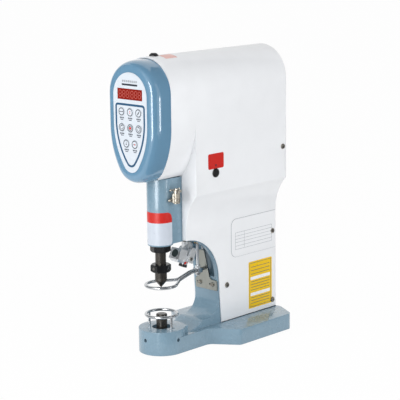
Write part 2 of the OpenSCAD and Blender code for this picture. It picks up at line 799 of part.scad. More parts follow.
module drive_bolts() color("dimgray") {
    frame_bolt_places() {
        rod_z(bolt_head_d, frame_top + bracket_floor, frame_top + bracket_floor + bolt_head_h);
        rod_z(bolt_d, frame_top - bolt_in, frame_top + bracket_floor + 1);
    }
    motor_bolt_places() {
        rod_z(motor_bolt_head_d, plate_z + plate_t, plate_z + plate_t + motor_bolt_head_h);
        rod_z(motor_bolt_d, plate_z - motor_bolt_in, plate_z + plate_t + 1);
    }
}

module motor_body() color("darkslategray") difference() {
    translate([0, motor_y, motor_z]) linear_extrude(plate_z - motor_z)
        polygon(rounded(mirrored([[motor_w / 2, -motor_w / 2, 6], [motor_w / 2, motor_w / 2, 6]])));
    translate([0, motor_y, 0]) rod_z(motor_shaft_d + 2 * run_gap, motor_z + 4, plate_z + 1);
    motor_bolt_places() rod_z(motor_bolt_d + 2 * fit_gap, plate_z - motor_bolt_in - 1, plate_z + 1);
}

// Two circles and the straight runs of a belt between them
module belt_outline(grow) {
    r0 = screw_pulley_r + grow;
    r1 = motor_pulley_r + grow;
    lean = asin((r0 - r1) / motor_y);
    circle(r = r0 + blend_lap);
    translate([0, motor_y]) circle(r = r1 + blend_lap);
    polygon([[r0 * cos(lean), r0 * sin(lean)], [r1 * cos(lean), motor_y + r1 * sin(lean)],
        [-r1 * cos(lean), motor_y + r1 * sin(lean)], [-r0 * cos(lean), r0 * sin(lean)]]);
}

module drive_belt() color("black") translate([0, 0, pulley_z + flange_t + 0.5]) linear_extrude(belt_w)
    difference() {
        belt_outline(belt_t / 2);
        belt_outline(-belt_t / 2);
    }

module pulley(r, bore) difference() {
    union() {
        rod_z(2 * (r - belt_t / 2 - clear_gap), pulley_z, pulley_z + pulley_h);
        for (z = [pulley_z, pulley_z + pulley_h - flange_t]) rod_z(2 * r + 3, z, z + flange_t);
    }
    rod_z(bore + 2 * fit_gap, pulley_z - 1, pulley_z + pulley_h + 1);
}

// Finned driver box on four feet on the rear cover
module servo_driver() color("silver") {
    back = plate_in_y - driver_foot;
    difference() {
        box([-driver_half, driver_half], [driver_front, back], driver_z);
        for (i = [-3:3]) translate([i * fin_pitch, 0])
            box([-fin_gap / 2, fin_gap / 2], [0, driver_front + fin_depth], [0, far]);
    }
    for (x = [-1, 1], z = [driver_z[0] + 5, driver_z[1] - 9]) translate([x * (driver_half - 4), 0, z])
        rod_y(6, back, plate_in_y);
}

module supply_piece(p, from) box([-p[0], p[0]], [from, from + p[1]], [p[2], p[3]]);

module power_supply() color("gold") {
    face = pocket_front + supply_board[1];
    supply_piece(supply_board, pocket_front);
    supply_piece(supply_block, face);
    supply_piece(supply_coil, face);
}

// Turned post with a rounded upper edge
module lower_die() color("black") rotate_extrude() polygon(concat([[0, post_low], [post_d / 2, post_low]],
    corner_arc([post_d / 2, post_low], [post_d / 2, post_top], [0, post_top], post_edge_r),
    [[0, post_top]]));

module die_set_screws() color("dimgray") die_screw_places()
    rod_y(set_screw_d, set_screw_in - nose_r, -post_d / 2 - fit_gap);

module die_ring() color("silver") {
    translate([0, 0, post_top - 0.5]) rotate_extrude($fn = 96)
        translate([die_ring_r, 0]) circle(d = die_wire);
    die_leg_places() rod_z(die_leg_d, nose_top - die_leg_in, post_top - 0.5);
}

module guard_plate() color("silver") guard_plate_frame() difference() {
    linear_extrude(guard_plate_t) polygon(rounded(guard_plate_outline));
    plate_slot_places() translate([0, 0, -1]) linear_extrude(guard_plate_t + 2) {
        translate([-plate_slot_run, -plate_slot_d / 2]) square([2 * plate_slot_run, plate_slot_d]);
        for (end = [-1, 1]) translate([end * plate_slot_run, 0]) circle(d = plate_slot_d);
    }
}

module guard_plate_screws() color("silver") guard_plate_frame() plate_slot_places()
    translate([plate_slot_run, 0, guard_plate_t])
        pan_screw(2 * plate_screw_d, screw_head_h, plate_screw_d, guard_plate_t + plate_screw_in);

module guard_bush() color("goldenrod") translate([0, guard_rod_y]) difference() {
    rod_z(guard_bush_d, guard_bush_low, spring_low);
    rod_z(rod_d + 2 * run_gap, guard_bush_low - 1, spring_low + 1);
}

module guard_stop_pin() color("silver") translate(stop_pin_at) rod_z(stop_pin_d, stop_pin_low, stop_pin_top);

// One unbroken tube along a helix between the pocket's floor and the rod's head
module guard_spring() color("gray") translate([0, guard_rod_y, spring_low + spring_wire / 2]) {
    rings = 8 * spring_turns;
    sides = 6;
    coil_r = (rod_head_d - spring_wire) / 2;
    rise = spring_len - spring_wire;
    points = [for (i = [0:rings], k = [0:sides - 1])
        let (a = 360 * i / 8, b = 360 * k / sides, r = coil_r + spring_wire / 2 * cos(b))
        [r * cos(a), r * sin(a), rise * i / rings + spring_wire / 2 * sin(b)]];
    faces = concat(
        [[for (k = [0:sides - 1]) k]],
        [for (i = [0:rings - 1], k = [0:sides - 1], half = [0, 1])
            let (n = (k + 1) % sides, p = i * sides)
            half == 0 ? [p + k, p + sides + k, p + n] : [p + n, p + sides + k, p + sides + n]],
        [[for (k = [sides - 1:-1:0]) rings * sides + k]]);
    polyhedron(points, faces);
}

module guard_rod() color("silver") translate([0, guard_rod_y, 0]) {
    rod_z(rod_d, eye_z - rod_below, rod_top);
    rod_z(rod_collar_d, eye_z + eye_h / 2, eye_z + eye_h / 2 + rod_collar_h);
    rod_z(rod_head_d, rod_top - rod_head_h, rod_top);
}

// Ring of wire whose two ends run back and up to an eye on the rod, with a heel before the plate
module guard_ring() color("silver") {
    start = guard_r * [sin(ring_open), cos(ring_open)];
    neck_y = start.y + (start.x - leg_x) * tan(ring_open);
    eye_front = guard_rod_y - eye_half_y;
    translate([0, 0, guard_z]) rotate([0, 0, 90 + ring_open])
        rotate_extrude(angle = 360 - 2 * ring_open, $fn = 96)
            translate([guard_r, 0]) circle(d = guard_wire);
    for (side = [-1, 1]) {
        bends = [[side * start.x, start.y, guard_z], [side * (leg_x + 1.5), neck_y - 2, guard_z],
            [side * leg_x, neck_y + 2, guard_z + 0.6], [side * leg_x, eye_front - 11, eye_z - 0.6],
            [side * leg_x, eye_front - 7, eye_z], [side * leg_x, eye_front, eye_z]];
        for (i = [0:len(bends) - 2]) wire(bends[i], bends[i + 1], guard_wire - 0.2);
    }
    difference() {
        box([-eye_half_x, eye_half_x], [eye_front, guard_rod_y + eye_half_y],
            [eye_z - eye_h / 2, eye_z + eye_h / 2]);
        translate([0, guard_rod_y, 0]) rod_z(rod_d + 2 * fit_gap, 0, far);
    }
    box([-heel_half_x, heel_half_x],
        [guard_rod_y + eye_half_y - blend_lap, plate_face_y(eye_z + heel_half_z) - heel_gap],
        [eye_z - heel_half_z, eye_z + heel_half_z]);
}

module guard_nut() color("silver") translate([0, guard_rod_y, eye_z - eye_h / 2 - guard_nut_h])
    hex_nut(guard_nut_af, guard_nut_h, rod_d + 2 * fit_gap);

// Frame of the lamp: its pivot, with Z along the beam
module lamp_frame() translate([0, lamp_y, lamp_z]) rotate([180 - lamp_tilt, 0, 0]) children();

module lamp_stem() color("silver") translate([0, lamp_y, lamp_z]) difference() {
    union() {
        rod_z(lamp_stem_d, lamp_stem_low, lamp_stem_top);
        rod_z(lamp_collar_d, lamp_stem_low, lamp_stem_low + lamp_collar_h);
        rod_x(lamp_knuckle_d, -lamp_knuckle_half, lamp_knuckle_half);
        box([-lamp_knuckle_half, lamp_knuckle_half], [-lamp_stem_d / 2, lamp_stem_d / 2],
            [0, lamp_stem_low + 1]);
    }
    rod_x(lamp_pin_d + 2 * run_gap, -far, far);
}

// Yoke with two cheeks on the pivot, a square housing and a nose
module lamp_head() color("silver") lamp_frame() difference() {
    cheek_in = lamp_knuckle_half + clear_gap;
    half = lamp_w / 2;
    union() {
        rod_x(lamp_pin_d, -cheek_in - 3, cheek_in + 3);
        for (side = [0, 1]) mirror([side, 0, 0]) {
            rod_x(lamp_cheek_d, cheek_in, cheek_in + lamp_cheek_t);
            box([cheek_in, cheek_in + lamp_cheek_t], [-lamp_cheek_d / 2, lamp_cheek_d / 2],
                [0, lamp_yoke_z[0] + 1]);
        }
        box([-cheek_in - lamp_cheek_t, cheek_in + lamp_cheek_t], [-lamp_cheek_d / 2, lamp_cheek_d / 2],
            lamp_yoke_z);
        box([-half, half], [0, lamp_housing_y[0] + 1], lamp_yoke_z);
        box([-half, half], lamp_housing_y, lamp_housing_z);
        hull() {
            box([-half, half], lamp_housing_y, [lamp_housing_z[1] - 1, lamp_housing_z[1]]);
            box([lamp_chamfer - half, half - lamp_chamfer],
                [lamp_housing_y[0], lamp_housing_y[1] - lamp_chamfer],
                [lamp_housing_z[1], lamp_housing_z[1] + lamp_chamfer]);
        }
        rod_z(lamp_nose_d, lamp_yoke_z[1] - 1, lamp_reach);
    }
    rod_z(lamp_bore_d, lamp_reach - lamp_bore, lamp_reach + 1);
}

module lamp_lens() color("black") lamp_frame()
    rod_z(lamp_bore_d - 2 * fit_gap, lamp_reach - lamp_bore, lamp_reach - 0.6);

// Cup on an elbow in the guide's side, with a hinge barrel at its back
module oil_cup() color("khaki") difference() {
    union() {
        translate(cup_at) rod_z(cup_d, 0, cup_h);
        translate([0, cup_at.y, cup_at.z + cup_elbow_z]) {
            rod_x(cup_elbow_d, guide_r - cup_elbow_in, cup_at.x);
            rod_x(cup_flange_d, guide_r, guide_r + 2);
        }
        translate(lid_axis) {
            rod_x(lid_barrel_d, -lid_barrel_half, lid_barrel_half);
            box([-lid_barrel_half, lid_barrel_half], [-2.4, 0], [-1, 0.8]);
        }
    }
    translate(cup_at) rod_z(cup_d - 2 * cup_wall, cup_floor, cup_h + 1);
    translate(lid_axis) rod_x(lid_pin_d + 2 * run_gap, -far, far);
}

// Lid with two ears that hold the hinge pin
module oil_cup_lid() color("khaki") {
    translate(cup_at) rod_z(cup_d + 1, cup_h + lid_gap, cup_h + lid_gap + lid_t);
    translate(lid_axis) {
        rod_x(lid_pin_d, 0.1 - lid_ear[1], lid_ear[1] - 0.1);
        box([-lid_ear[1], lid_ear[1]], [-3, 1], [1.5, 2.8]);
        for (side = [0, 1]) mirror([side, 0, 0]) box(lid_ear, [-0.9, 1], [-0.9, 2]);
    }
}

module mains_inlet() color("black") translate([inlet_x, 0, socket_z]) difference() {
    union() {
        socket_block(inlet_half, plate_in_y - inlet_depth, plate_in_y + tray_t + 1, 0.1);
        socket_block(inlet_half, plate_in_y + tray_t, plate_in_y + tray_t + socket_t, -2);
    }
    difference() {
        socket_block(inlet_half, plate_in_y - inlet_well, far, 2);
        for (at = inlet_pins) translate([at.x, 0, at.y]) socket_block([1, 2], 0, plate_in_y);
    }
}

module pedal_socket() color("silver") translate([pedal_x, 0, socket_z]) difference() {
    union() {
        rod_y(pedal_d - 2 * fit_gap, plate_in_y - 10, plate_in_y + tray_t + 1);
        rod_y(pedal_d + 4, plate_in_y + tray_t, plate_in_y + tray_t + socket_t);
    }
    difference() {
        rod_y(pedal_d - 4, plate_in_y - 4, far);
        for (turn = [45:90:315]) rotate([0, turn, 0]) translate([pedal_d / 5, 0])
            rod_y(1.6, plate_in_y - 5, plate_in_y);
    }
}

module switch_body() color("black") translate([switch_x, 0, socket_z]) difference() {
    union() {
        socket_block(switch_half, plate_in_y - 14, plate_in_y + tray_t + 1, 0.1);
        socket_block(switch_half, plate_in_y + tray_t, plate_in_y + tray_t + 2, -1);
    }
    socket_block([5, 8.6], plate_in_y - 6, far);
    translate([0, plate_in_y - 1]) rod_x(switch_pin_d + 2 * run_gap, -5.8, 5.8);
}

// Rocker: a shallow vee on a pin, stored in its off position
module switch_rocker() color("red") translate([switch_x, plate_in_y - 1, socket_z])
    rotate([rocker_tilt, 0, 0]) {
        along_x(-4.7, 4.7)
            polygon([[-2.2, -2], [-2.2, 2], [3.4, 7.4], [5, 7.4], [4.2, 0], [5, -7.4], [3.4, -7.4]]);
        rod_x(switch_pin_d, -5.6, 5.6);
    }

module ram() color("silver") difference() {
    rod_z(ram_d, guide_bottom, ram_top);
    rod_z(ram_bore_d, screw_low - 2, ram_top + 1);
    rod_z(spigot_d + 2 * fit_gap, guide_bottom - 1, guide_bottom + spigot_len + 0.5);
    box([-far, key_slot_depth - ram_d / 2], [-key_pin_d / 2 - 0.1, key_pin_d / 2 + 0.1],
        [key_z - key_pin_d / 2 - 1, key_z + key_pin_d / 2 + stroke + 1]);
}

module ram_nut() color("darkgoldenrod") difference() {
    rod_z(ram_nut_d, ram_top, ram_top + ram_nut_h);
    rod_z(screw_d + 2 * run_gap, ram_top - 1, ram_top + ram_nut_h + 1);
}

module punch_shaft() color("dimgray") difference() {
    union() {
        rod_z(shaft_d, punch_top + 0.5, guide_bottom);
        rod_z(spigot_d, guide_bottom - 1, guide_bottom + spigot_len);
    }
    rod_z(punch_shank_d + 2 * fit_gap, punch_top, punch_top + punch_shank_len + 1);
}

module jam_nut() color("black") translate([0, 0, jam_top - jam_h]) rotate(38)
    hex_nut(nut_af, jam_h, shaft_d + 2 * fit_gap);

module clamp_nut() color("black") translate([0, 0, punch_top]) rotate(54)
    hex_nut(nut_af, clamp_h, shaft_d + 2 * fit_gap);

module punch() color("black") {
    rod_z(punch_d, punch_top - punch_len, punch_top);
    translate([0, 0, punch_top - punch_len - tip_h]) cylinder(d1 = 1, d2 = punch_d, h = tip_h);
    rod_z(punch_shank_d, punch_top - 1, punch_top + punch_shank_len);
}

module drive_screw() color("silver") difference() {
    union() {
        rod_z(screw_d, screw_low, pulley_z + pulley_h + 2);
        rod_z(screw_d + 6, plate_z - screw_collar_h, plate_z - 0.1);
    }
    translate([0, 0, pulley_z + pulley_h - 4]) cylinder(d = screw_hex, h = 10, $fn = 6);
}

module screw_pulley() color("silver") pulley(screw_pulley_r, screw_d);

module motor_shaft() color("silver") translate([0, motor_y])
    rod_z(motor_shaft_d, motor_z + 4.2, pulley_z + pulley_h + 1);

module motor_pulley() color("silver") translate([0, motor_y, 0]) pulley(motor_pulley_r, motor_shaft_d);

machine_frame();
left_cover();
right_cover();
rear_cover();
cover_screws();
control_bezel();
bezel_screws();
panel_overlay();
display_lens();
display_modules();
panel_board();
key(0);  // key_1
key(1);  // key_2
key(2);  // key_3
key(3);  // key_4
key(4);  // key_5
key(5);  // key_6
key(6);  // key_7
key(7);  // key_8
top_plug();
side_plug();
ram_bushes();
ram_key();
screw_bearing();
drive_bracket();
drive_bolts();
motor_body();
drive_belt();
servo_driver();
power_supply();
lower_die();
die_set_screws();
die_ring();
guard_plate();
guard_plate_screws();
guard_bush();
guard_stop_pin();
guard_spring();
lamp_stem();
oil_cup();
oil_cup_lid();
mains_inlet();
pedal_socket();
switch_body();
switch_rocker();
ram();
ram_nut();
punch_shaft();
jam_nut();
clamp_nut();
punch();
drive_screw();
screw_pulley();
motor_shaft();
motor_pulley();
guard_rod();
guard_ring();
guard_nut();
lamp_head();
lamp_lens();
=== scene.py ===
# %% [markdown]
# # A button attaching machine
# This lesson dresses a small bench press that sets snap buttons in cloth. A cast frame carries
# white covers, a glossy oval control panel, a ram with a pointed punch and a die post below it.
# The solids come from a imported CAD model. Blender gives them finishes, rounded edges and print.

# %% Load the frame
import json
import math

import bmesh
import bpy
from mathutils import Matrix, Vector


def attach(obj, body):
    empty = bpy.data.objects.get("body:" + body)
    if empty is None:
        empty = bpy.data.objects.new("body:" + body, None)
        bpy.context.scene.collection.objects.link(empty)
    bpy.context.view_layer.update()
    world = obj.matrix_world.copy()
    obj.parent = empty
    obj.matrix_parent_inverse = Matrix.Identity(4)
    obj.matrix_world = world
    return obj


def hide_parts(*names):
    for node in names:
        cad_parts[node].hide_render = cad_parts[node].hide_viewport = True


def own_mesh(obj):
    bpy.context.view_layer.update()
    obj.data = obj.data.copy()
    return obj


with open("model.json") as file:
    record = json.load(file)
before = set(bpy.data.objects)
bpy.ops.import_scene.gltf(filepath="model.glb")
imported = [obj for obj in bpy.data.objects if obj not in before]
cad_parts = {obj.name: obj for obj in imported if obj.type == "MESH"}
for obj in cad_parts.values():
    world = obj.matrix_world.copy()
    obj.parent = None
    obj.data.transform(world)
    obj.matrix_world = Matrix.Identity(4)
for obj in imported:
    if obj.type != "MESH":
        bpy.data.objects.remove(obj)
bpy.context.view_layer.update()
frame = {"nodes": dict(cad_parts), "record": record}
nodes = frame["nodes"]
MM = 0.001

# %% [markdown]
# ## Camera
# The picture is taken from the front right, a little above the machine, with a long lens.
# A long lens keeps upright edges nearly parallel. The camera is placed from its angles and the
# point it looks at, so each number can be read off and changed on its own.

# %% Place the camera
VIEW_TURN, VIEW_RISE, VIEW_ROLL = math.radians(43.7), math.radians(11.5), math.radians(-0.7)
VIEW_AT = Vector((10.9, 65.3, 195.4)) * MM
VIEW_FAR = 1.943
SENSOR_WIDE, LENS_LONG = 36, 130.5
camera_data = bpy.data.cameras.new("camera")
camera_data.sensor_width = SENSOR_WIDE
camera_data.lens = LENS_LONG
camera = bpy.data.objects.new("camera", camera_data)
bpy.context.scene.collection.objects.link(camera)
aim = Vector((-math.sin(VIEW_TURN) * math.cos(VIEW_RISE), math.cos(VIEW_TURN) * math.cos(VIEW_RISE),
              -math.sin(VIEW_RISE)))
camera.matrix_world = (Matrix.Translation(VIEW_AT - aim * VIEW_FAR)
                       @ aim.to_track_quat("-Z", "Y").to_matrix().to_4x4()
                       @ Matrix.Rotation(VIEW_ROLL, 4, "Z"))
bpy.context.scene.camera = camera
print("camera at", [round(v, 3) for v in camera.matrix_world.translation])

# %% [markdown]
# ## Studio
# A product picture wants an even white surround, soft lamps from several sides and long highlights
# on gloss. The world looks white to the camera and in reflections, and gives a softer fill to the
# surfaces, so the floor still keeps a faint shadow. The lamps light the paint, but gloss doesn't
# mirror them. What it mirrors are cards that only reflections see. Two bright ones draw the long
# highlights, and dark ones at the sides, above and on the floor give chrome its lines. The broad
# bright card stands a little to the right, so a flat panel seen straight on doesn't mirror it.

# %% Light the studio
bpy.context.scene.view_settings.view_transform = "Standard"
FILL = 0.56


def shows_backdrop(tree):
    """One where a camera, glossy or transmission ray looks, and zero for light that falls on things."""
    path = tree.nodes.new("ShaderNodeLightPath")
    ray = path.outputs["Is Camera Ray"]
    for kind in ("Is Glossy Ray", "Is Transmission Ray"):
        either = tree.nodes.new("ShaderNodeMath")
        either.operation = "MAXIMUM"
        tree.links.new(ray, either.inputs[0])
        tree.links.new(path.outputs[kind], either.inputs[1])
        ray = either.outputs[0]
    return ray


world = bpy.data.worlds.new("studio")
bpy.context.scene.world = world
world.use_nodes = True
sky = world.node_tree
sky.nodes.clear()
fill, backdrop = (sky.nodes.new("ShaderNodeBackground") for _ in range(2))
fill.inputs["Strength"].default_value = FILL
fill.inputs["Color"].default_value = (1, 1, 1, 1)
backdrop.inputs["Color"].default_value = (1, 1, 1, 1)
choose = sky.nodes.new("ShaderNodeMixShader")
sky_out = sky.nodes.new("ShaderNodeOutputWorld")
sky.links.new(shows_backdrop(sky), choose.inputs[0])
sky.links.new(fill.outputs[0], choose.inputs[1])
sky.links.new(backdrop.outputs[0], choose.inputs[2])
sky.links.new(choose.outputs[0], sky_out.inputs[0])
print("the world fills with", FILL)

# %% Place the lamps


def stand_at(thing, turn, rise, distance):
    """Put a lamp or a card at a compass angle from the front, facing the machine."""
    turn, rise = math.radians(turn), math.radians(rise)
    out = Vector((math.sin(turn) * math.cos(rise), -math.cos(turn) * math.cos(rise), math.sin(rise)))
    bpy.context.scene.collection.objects.link(thing)
    thing.matrix_world = (Matrix.Translation(VIEW_AT + out * distance)
                          @ (-out).to_track_quat("-Z", "Y").to_matrix().to_4x4())


def soft_light(name, turn, rise, distance, size, watts):
    """A rectangular lamp aimed at the machine, which gloss doesn't mirror."""
    lamp = bpy.data.lights.new(name, "AREA")
    lamp.shape = "RECTANGLE"
    lamp.size, lamp.size_y = size
    lamp.energy = watts
    lamp_object = bpy.data.objects.new(name, lamp)
    lamp_object.visible_glossy = False
    stand_at(lamp_object, turn, rise, distance)


soft_light("key_light", -30, 26, 2.2, (1.4, 1.0), 6)
soft_light("camera_fill", 38, 12, 2.2, (1.0, 0.8), 7.5)
soft_light("side_light", 105, 22, 2.4, (1.2, 1.0), 8.5)
soft_light("front_box", -8.5, 12.3, 1.2, (0.46, 0.88), 5.2)
soft_light("right_strip", 103, 12.3, 1.2, (0.12, 0.88), 1.9)
print(len(bpy.data.lights), "lamps placed")

# %% Stand cards for the reflections
HIGHLIGHT, MATT = 9.0, 0.9
DARK_FAR, DARK_HIGH, BRIGHT_FAR = 1.05, 0.9, 1.0
FLOOR_CARD_AT = (0.66, 0.2, 0.0002)
SQUARE = ((-1, -1), (1, -1), (1, 1), (-1, 1))


def card_paint(name, colour, glow):
    """A matt paint for cards, with a glow of its own."""
    paint = bpy.data.materials.new(name)
    paint.use_nodes = True
    shader = paint.node_tree.nodes["Principled BSDF"]
    shader.inputs["Base Color"].default_value = (*colour, 1)
    shader.inputs["Roughness"].default_value = MATT
    shader.inputs["Emission Color"].default_value = (1, 1, 1, 1)
    shader.inputs["Emission Strength"].default_value = glow
    return paint


dark_paint = card_paint("dark_card", (0.22, 0.23, 0.24), 0.0)
bright_paint = card_paint("bright_card", (0, 0, 0), HIGHLIGHT)


def mirror_card(paint, width, height):
    """A card that only reflections see."""
    mesh = bpy.data.meshes.new(paint.name)
    mesh.from_pydata([(x * width / 2, y * height / 2, 0) for x, y in SQUARE], [], [(0, 1, 2, 3)])
    mesh.materials.append(paint)
    thing = bpy.data.objects.new(paint.name, mesh)
    thing.visible_camera = thing.visible_diffuse = thing.visible_shadow = False
    return thing


for turn, rise, width in ((50, 13.6, 1.8), (-51, 13.6, 1.1), (136, 13.6, 0.9), (20, 72, 2.2),
                          (136, 48, 1.1)):
    stand_at(mirror_card(dark_paint, width, DARK_HIGH), turn, rise, DARK_FAR)
for turn, rise, width, height in ((17, 9.5, 0.46, 0.68), (109.5, -0.6, 0.12, 0.13)):
    stand_at(mirror_card(bright_paint, width, height), turn, rise, BRIGHT_FAR)
on_floor = mirror_card(dark_paint, 1.1, 1.6)
bpy.context.scene.collection.objects.link(on_floor)
on_floor.location = FLOOR_CARD_AT
print("cards stand at", DARK_FAR, "and", BRIGHT_FAR, "m, and one lies on the floor")

# %% Lay the floor
FLOOR_HALF, FLOOR_DROP, FLOOR_GLOW = 9, 0.2 * MM, 0.97
floor_mesh = bpy.data.meshes.new("floor")
floor_mesh.from_pydata([(x * FLOOR_HALF, y * FLOOR_HALF, 0) for x, y in SQUARE], [], [(0, 1, 2, 3)])
floor = bpy.data.objects.new("floor", floor_mesh)
bpy.context.scene.collection.objects.link(floor)
floor.location.z = -FLOOR_DROP
floor_paint = bpy.data.materials.new("pale_floor")
floor_paint.use_nodes = True
tree = floor_paint.node_tree
tree.nodes.clear()
matt, white, share = (tree.nodes.new(kind) for kind in
                      ("ShaderNodeBsdfDiffuse", "ShaderNodeEmission", "ShaderNodeMixShader"))
matt.inputs["Color"].default_value = (0.92, 0.92, 0.92, 1)
seen_white = tree.nodes.new("ShaderNodeMath")
seen_white.operation = "MULTIPLY"
seen_white.inputs[1].default_value = FLOOR_GLOW
tree.links.new(shows_backdrop(tree), seen_white.inputs[0])
tree.links.new(seen_white.outputs[0], share.inputs[0])
tree.links.new(matt.outputs[0], share.inputs[1])
tree.links.new(white.outputs[0], share.inputs[2])
floor_out = tree.nodes.new("ShaderNodeOutputMaterial")
tree.links.new(share.outputs[0], floor_out.inputs[0])
floor_mesh.materials.append(floor_paint)
print("floor of", 2 * FLOOR_HALF, "m laid")

# %% [markdown]
# ## Finishes
# Every finish is one shader whose colour, roughness and surface height wander a little, as paint,
# film and metal do. Noise in object space needs no unwrapping. A helper builds the shared part,
# and each finish then says what makes it different: orange peel in thick enamel, fine brush
# lines in ground steel, dull specks in black oxide. Where a finish has an edge radius, a bevel node
# finds the edges, so paint looks thinner and metal brighter there, and they catch a line of light.

# %% Write the helpers for a finish
NOISE_LOW, NOISE_HIGH = 0.3, 0.7
EDGE_TURNED, EDGE_FLAT = 0.72, 0.96
COAT_ROUGH, PEEL_HIGH = 0.04, 1 * MM


def rgb(red, green, blue):
    """A colour as it looks on a screen, from 0 to 255, as the linear value that a shader takes."""
    return [((c / 255 + 0.055) / 1.055) ** 2.4 if c > 10 else c / 255 / 12.92 for c in (red, green, blue)]


def wander(tree, scale, detail=3.0, stretch=(1, 1, 1)):
    """Noise over the object, with so many bumps to a metre, drawn out along an axis."""
    place = tree.nodes.new("ShaderNodeTexCoord")
    mapping = tree.nodes.new("ShaderNodeMapping")
    mapping.inputs["Scale"].default_value = stretch
    cloud = tree.nodes.new("ShaderNodeTexNoise")
    cloud.inputs["Scale"].default_value = scale
    cloud.inputs["Detail"].default_value = detail
    tree.links.new(place.outputs["Object"], mapping.inputs["Vector"])
    tree.links.new(mapping.outputs["Vector"], cloud.inputs["Vector"])
    return cloud.outputs["Fac"]


def ramp(tree, source, stops):
    """Colours along a source value."""
    node = tree.nodes.new("ShaderNodeValToRGB")
    tree.links.new(source, node.inputs["Fac"])
    while len(node.color_ramp.elements) < len(stops):
        node.color_ramp.elements.new(0.5)
    for element, (at, colour) in zip(node.color_ramp.elements, stops):
        element.position = at
        element.color = (*colour, 1)
    return node.outputs["Color"]


def spread(tree, source, low, high):
    """A noise value stretched from its usual range to another."""
    node = tree.nodes.new("ShaderNodeMapRange")
    node.inputs["From Min"].default_value = NOISE_LOW
    node.inputs["From Max"].default_value = NOISE_HIGH
    node.inputs["To Min"].default_value = low
    node.inputs["To Max"].default_value = high
    tree.links.new(source, node.inputs["Value"])
    return node.outputs["Result"]


def at_edges(tree, rounded, clouds):
    """How much a spot lies on an edge, from the turn of the rounded normal, broken up by noise."""
    shape = tree.nodes.new("ShaderNodeNewGeometry")
    turn = tree.nodes.new("ShaderNodeVectorMath")
    turn.operation = "DOT_PRODUCT"
    tree.links.new(rounded, turn.inputs[0])
    tree.links.new(shape.outputs["Normal"], turn.inputs[1])
    edges = ramp(tree, turn.outputs["Value"], [(EDGE_TURNED, (1, 1, 1)), (EDGE_FLAT, (0, 0, 0))])
    rub = tree.nodes.new("ShaderNodeMath")
    rub.operation = "MULTIPLY"
    tree.links.new(edges, rub.inputs[0])
    tree.links.new(spread(tree, clouds, 0.2, 1.0), rub.inputs[1])
    return rub.outputs[0]


def finish(name, colour, rough, tint=0.04, patch=40, metal=0.0, coat=0.0, peel=(600, 0.02),
           grain=(1, 1, 1), edge=0.0, worn=None, gloss=0.5):
    """A finish: colour and its wander, roughness range, bump (scale, strength), edge radius, worn colour."""
    material = bpy.data.materials.new(name)
    material.use_nodes = True
    tree = material.node_tree
    shader = tree.nodes["Principled BSDF"]
    shader.inputs["Metallic"].default_value = metal
    shader.inputs["Specular IOR Level"].default_value = gloss
    shader.inputs["Coat Weight"].default_value = coat
    shader.inputs["Coat Roughness"].default_value = COAT_ROUGH
    clouds = wander(tree, patch)
    tone = ramp(tree, clouds, [(NOISE_LOW, [c * (1 - tint) for c in colour]),
                               (NOISE_HIGH, [min(1, c * (1 + tint)) for c in colour])])
    scale, strength = peel
    bump = tree.nodes.new("ShaderNodeBump")
    bump.inputs["Strength"].default_value = strength
    bump.inputs["Distance"].default_value = PEEL_HIGH
    tree.links.new(wander(tree, scale, 2.0, grain), bump.inputs["Height"])
    tree.links.new(bump.outputs["Normal"], shader.inputs["Normal"])
    if edge:
        round_over = tree.nodes.new("ShaderNodeBevel")
        round_over.samples = 4
        round_over.inputs["Radius"].default_value = edge * MM
        tree.links.new(round_over.outputs["Normal"], bump.inputs["Normal"])
        mix = tree.nodes.new("ShaderNodeMix")
        mix.data_type = "RGBA"
        tree.links.new(at_edges(tree, round_over.outputs["Normal"], clouds), mix.inputs["Factor"])
        tree.links.new(tone, mix.inputs["A"])
        mix.inputs["B"].default_value = (*worn, 1)
        tone = mix.outputs["Result"]
    tree.links.new(tone, shader.inputs["Base Color"])
    tree.links.new(spread(tree, wander(tree, scale / 6, 4.0, grain), *rough), shader.inputs["Roughness"])
    return material


print("a finish wanders in colour, roughness and height")

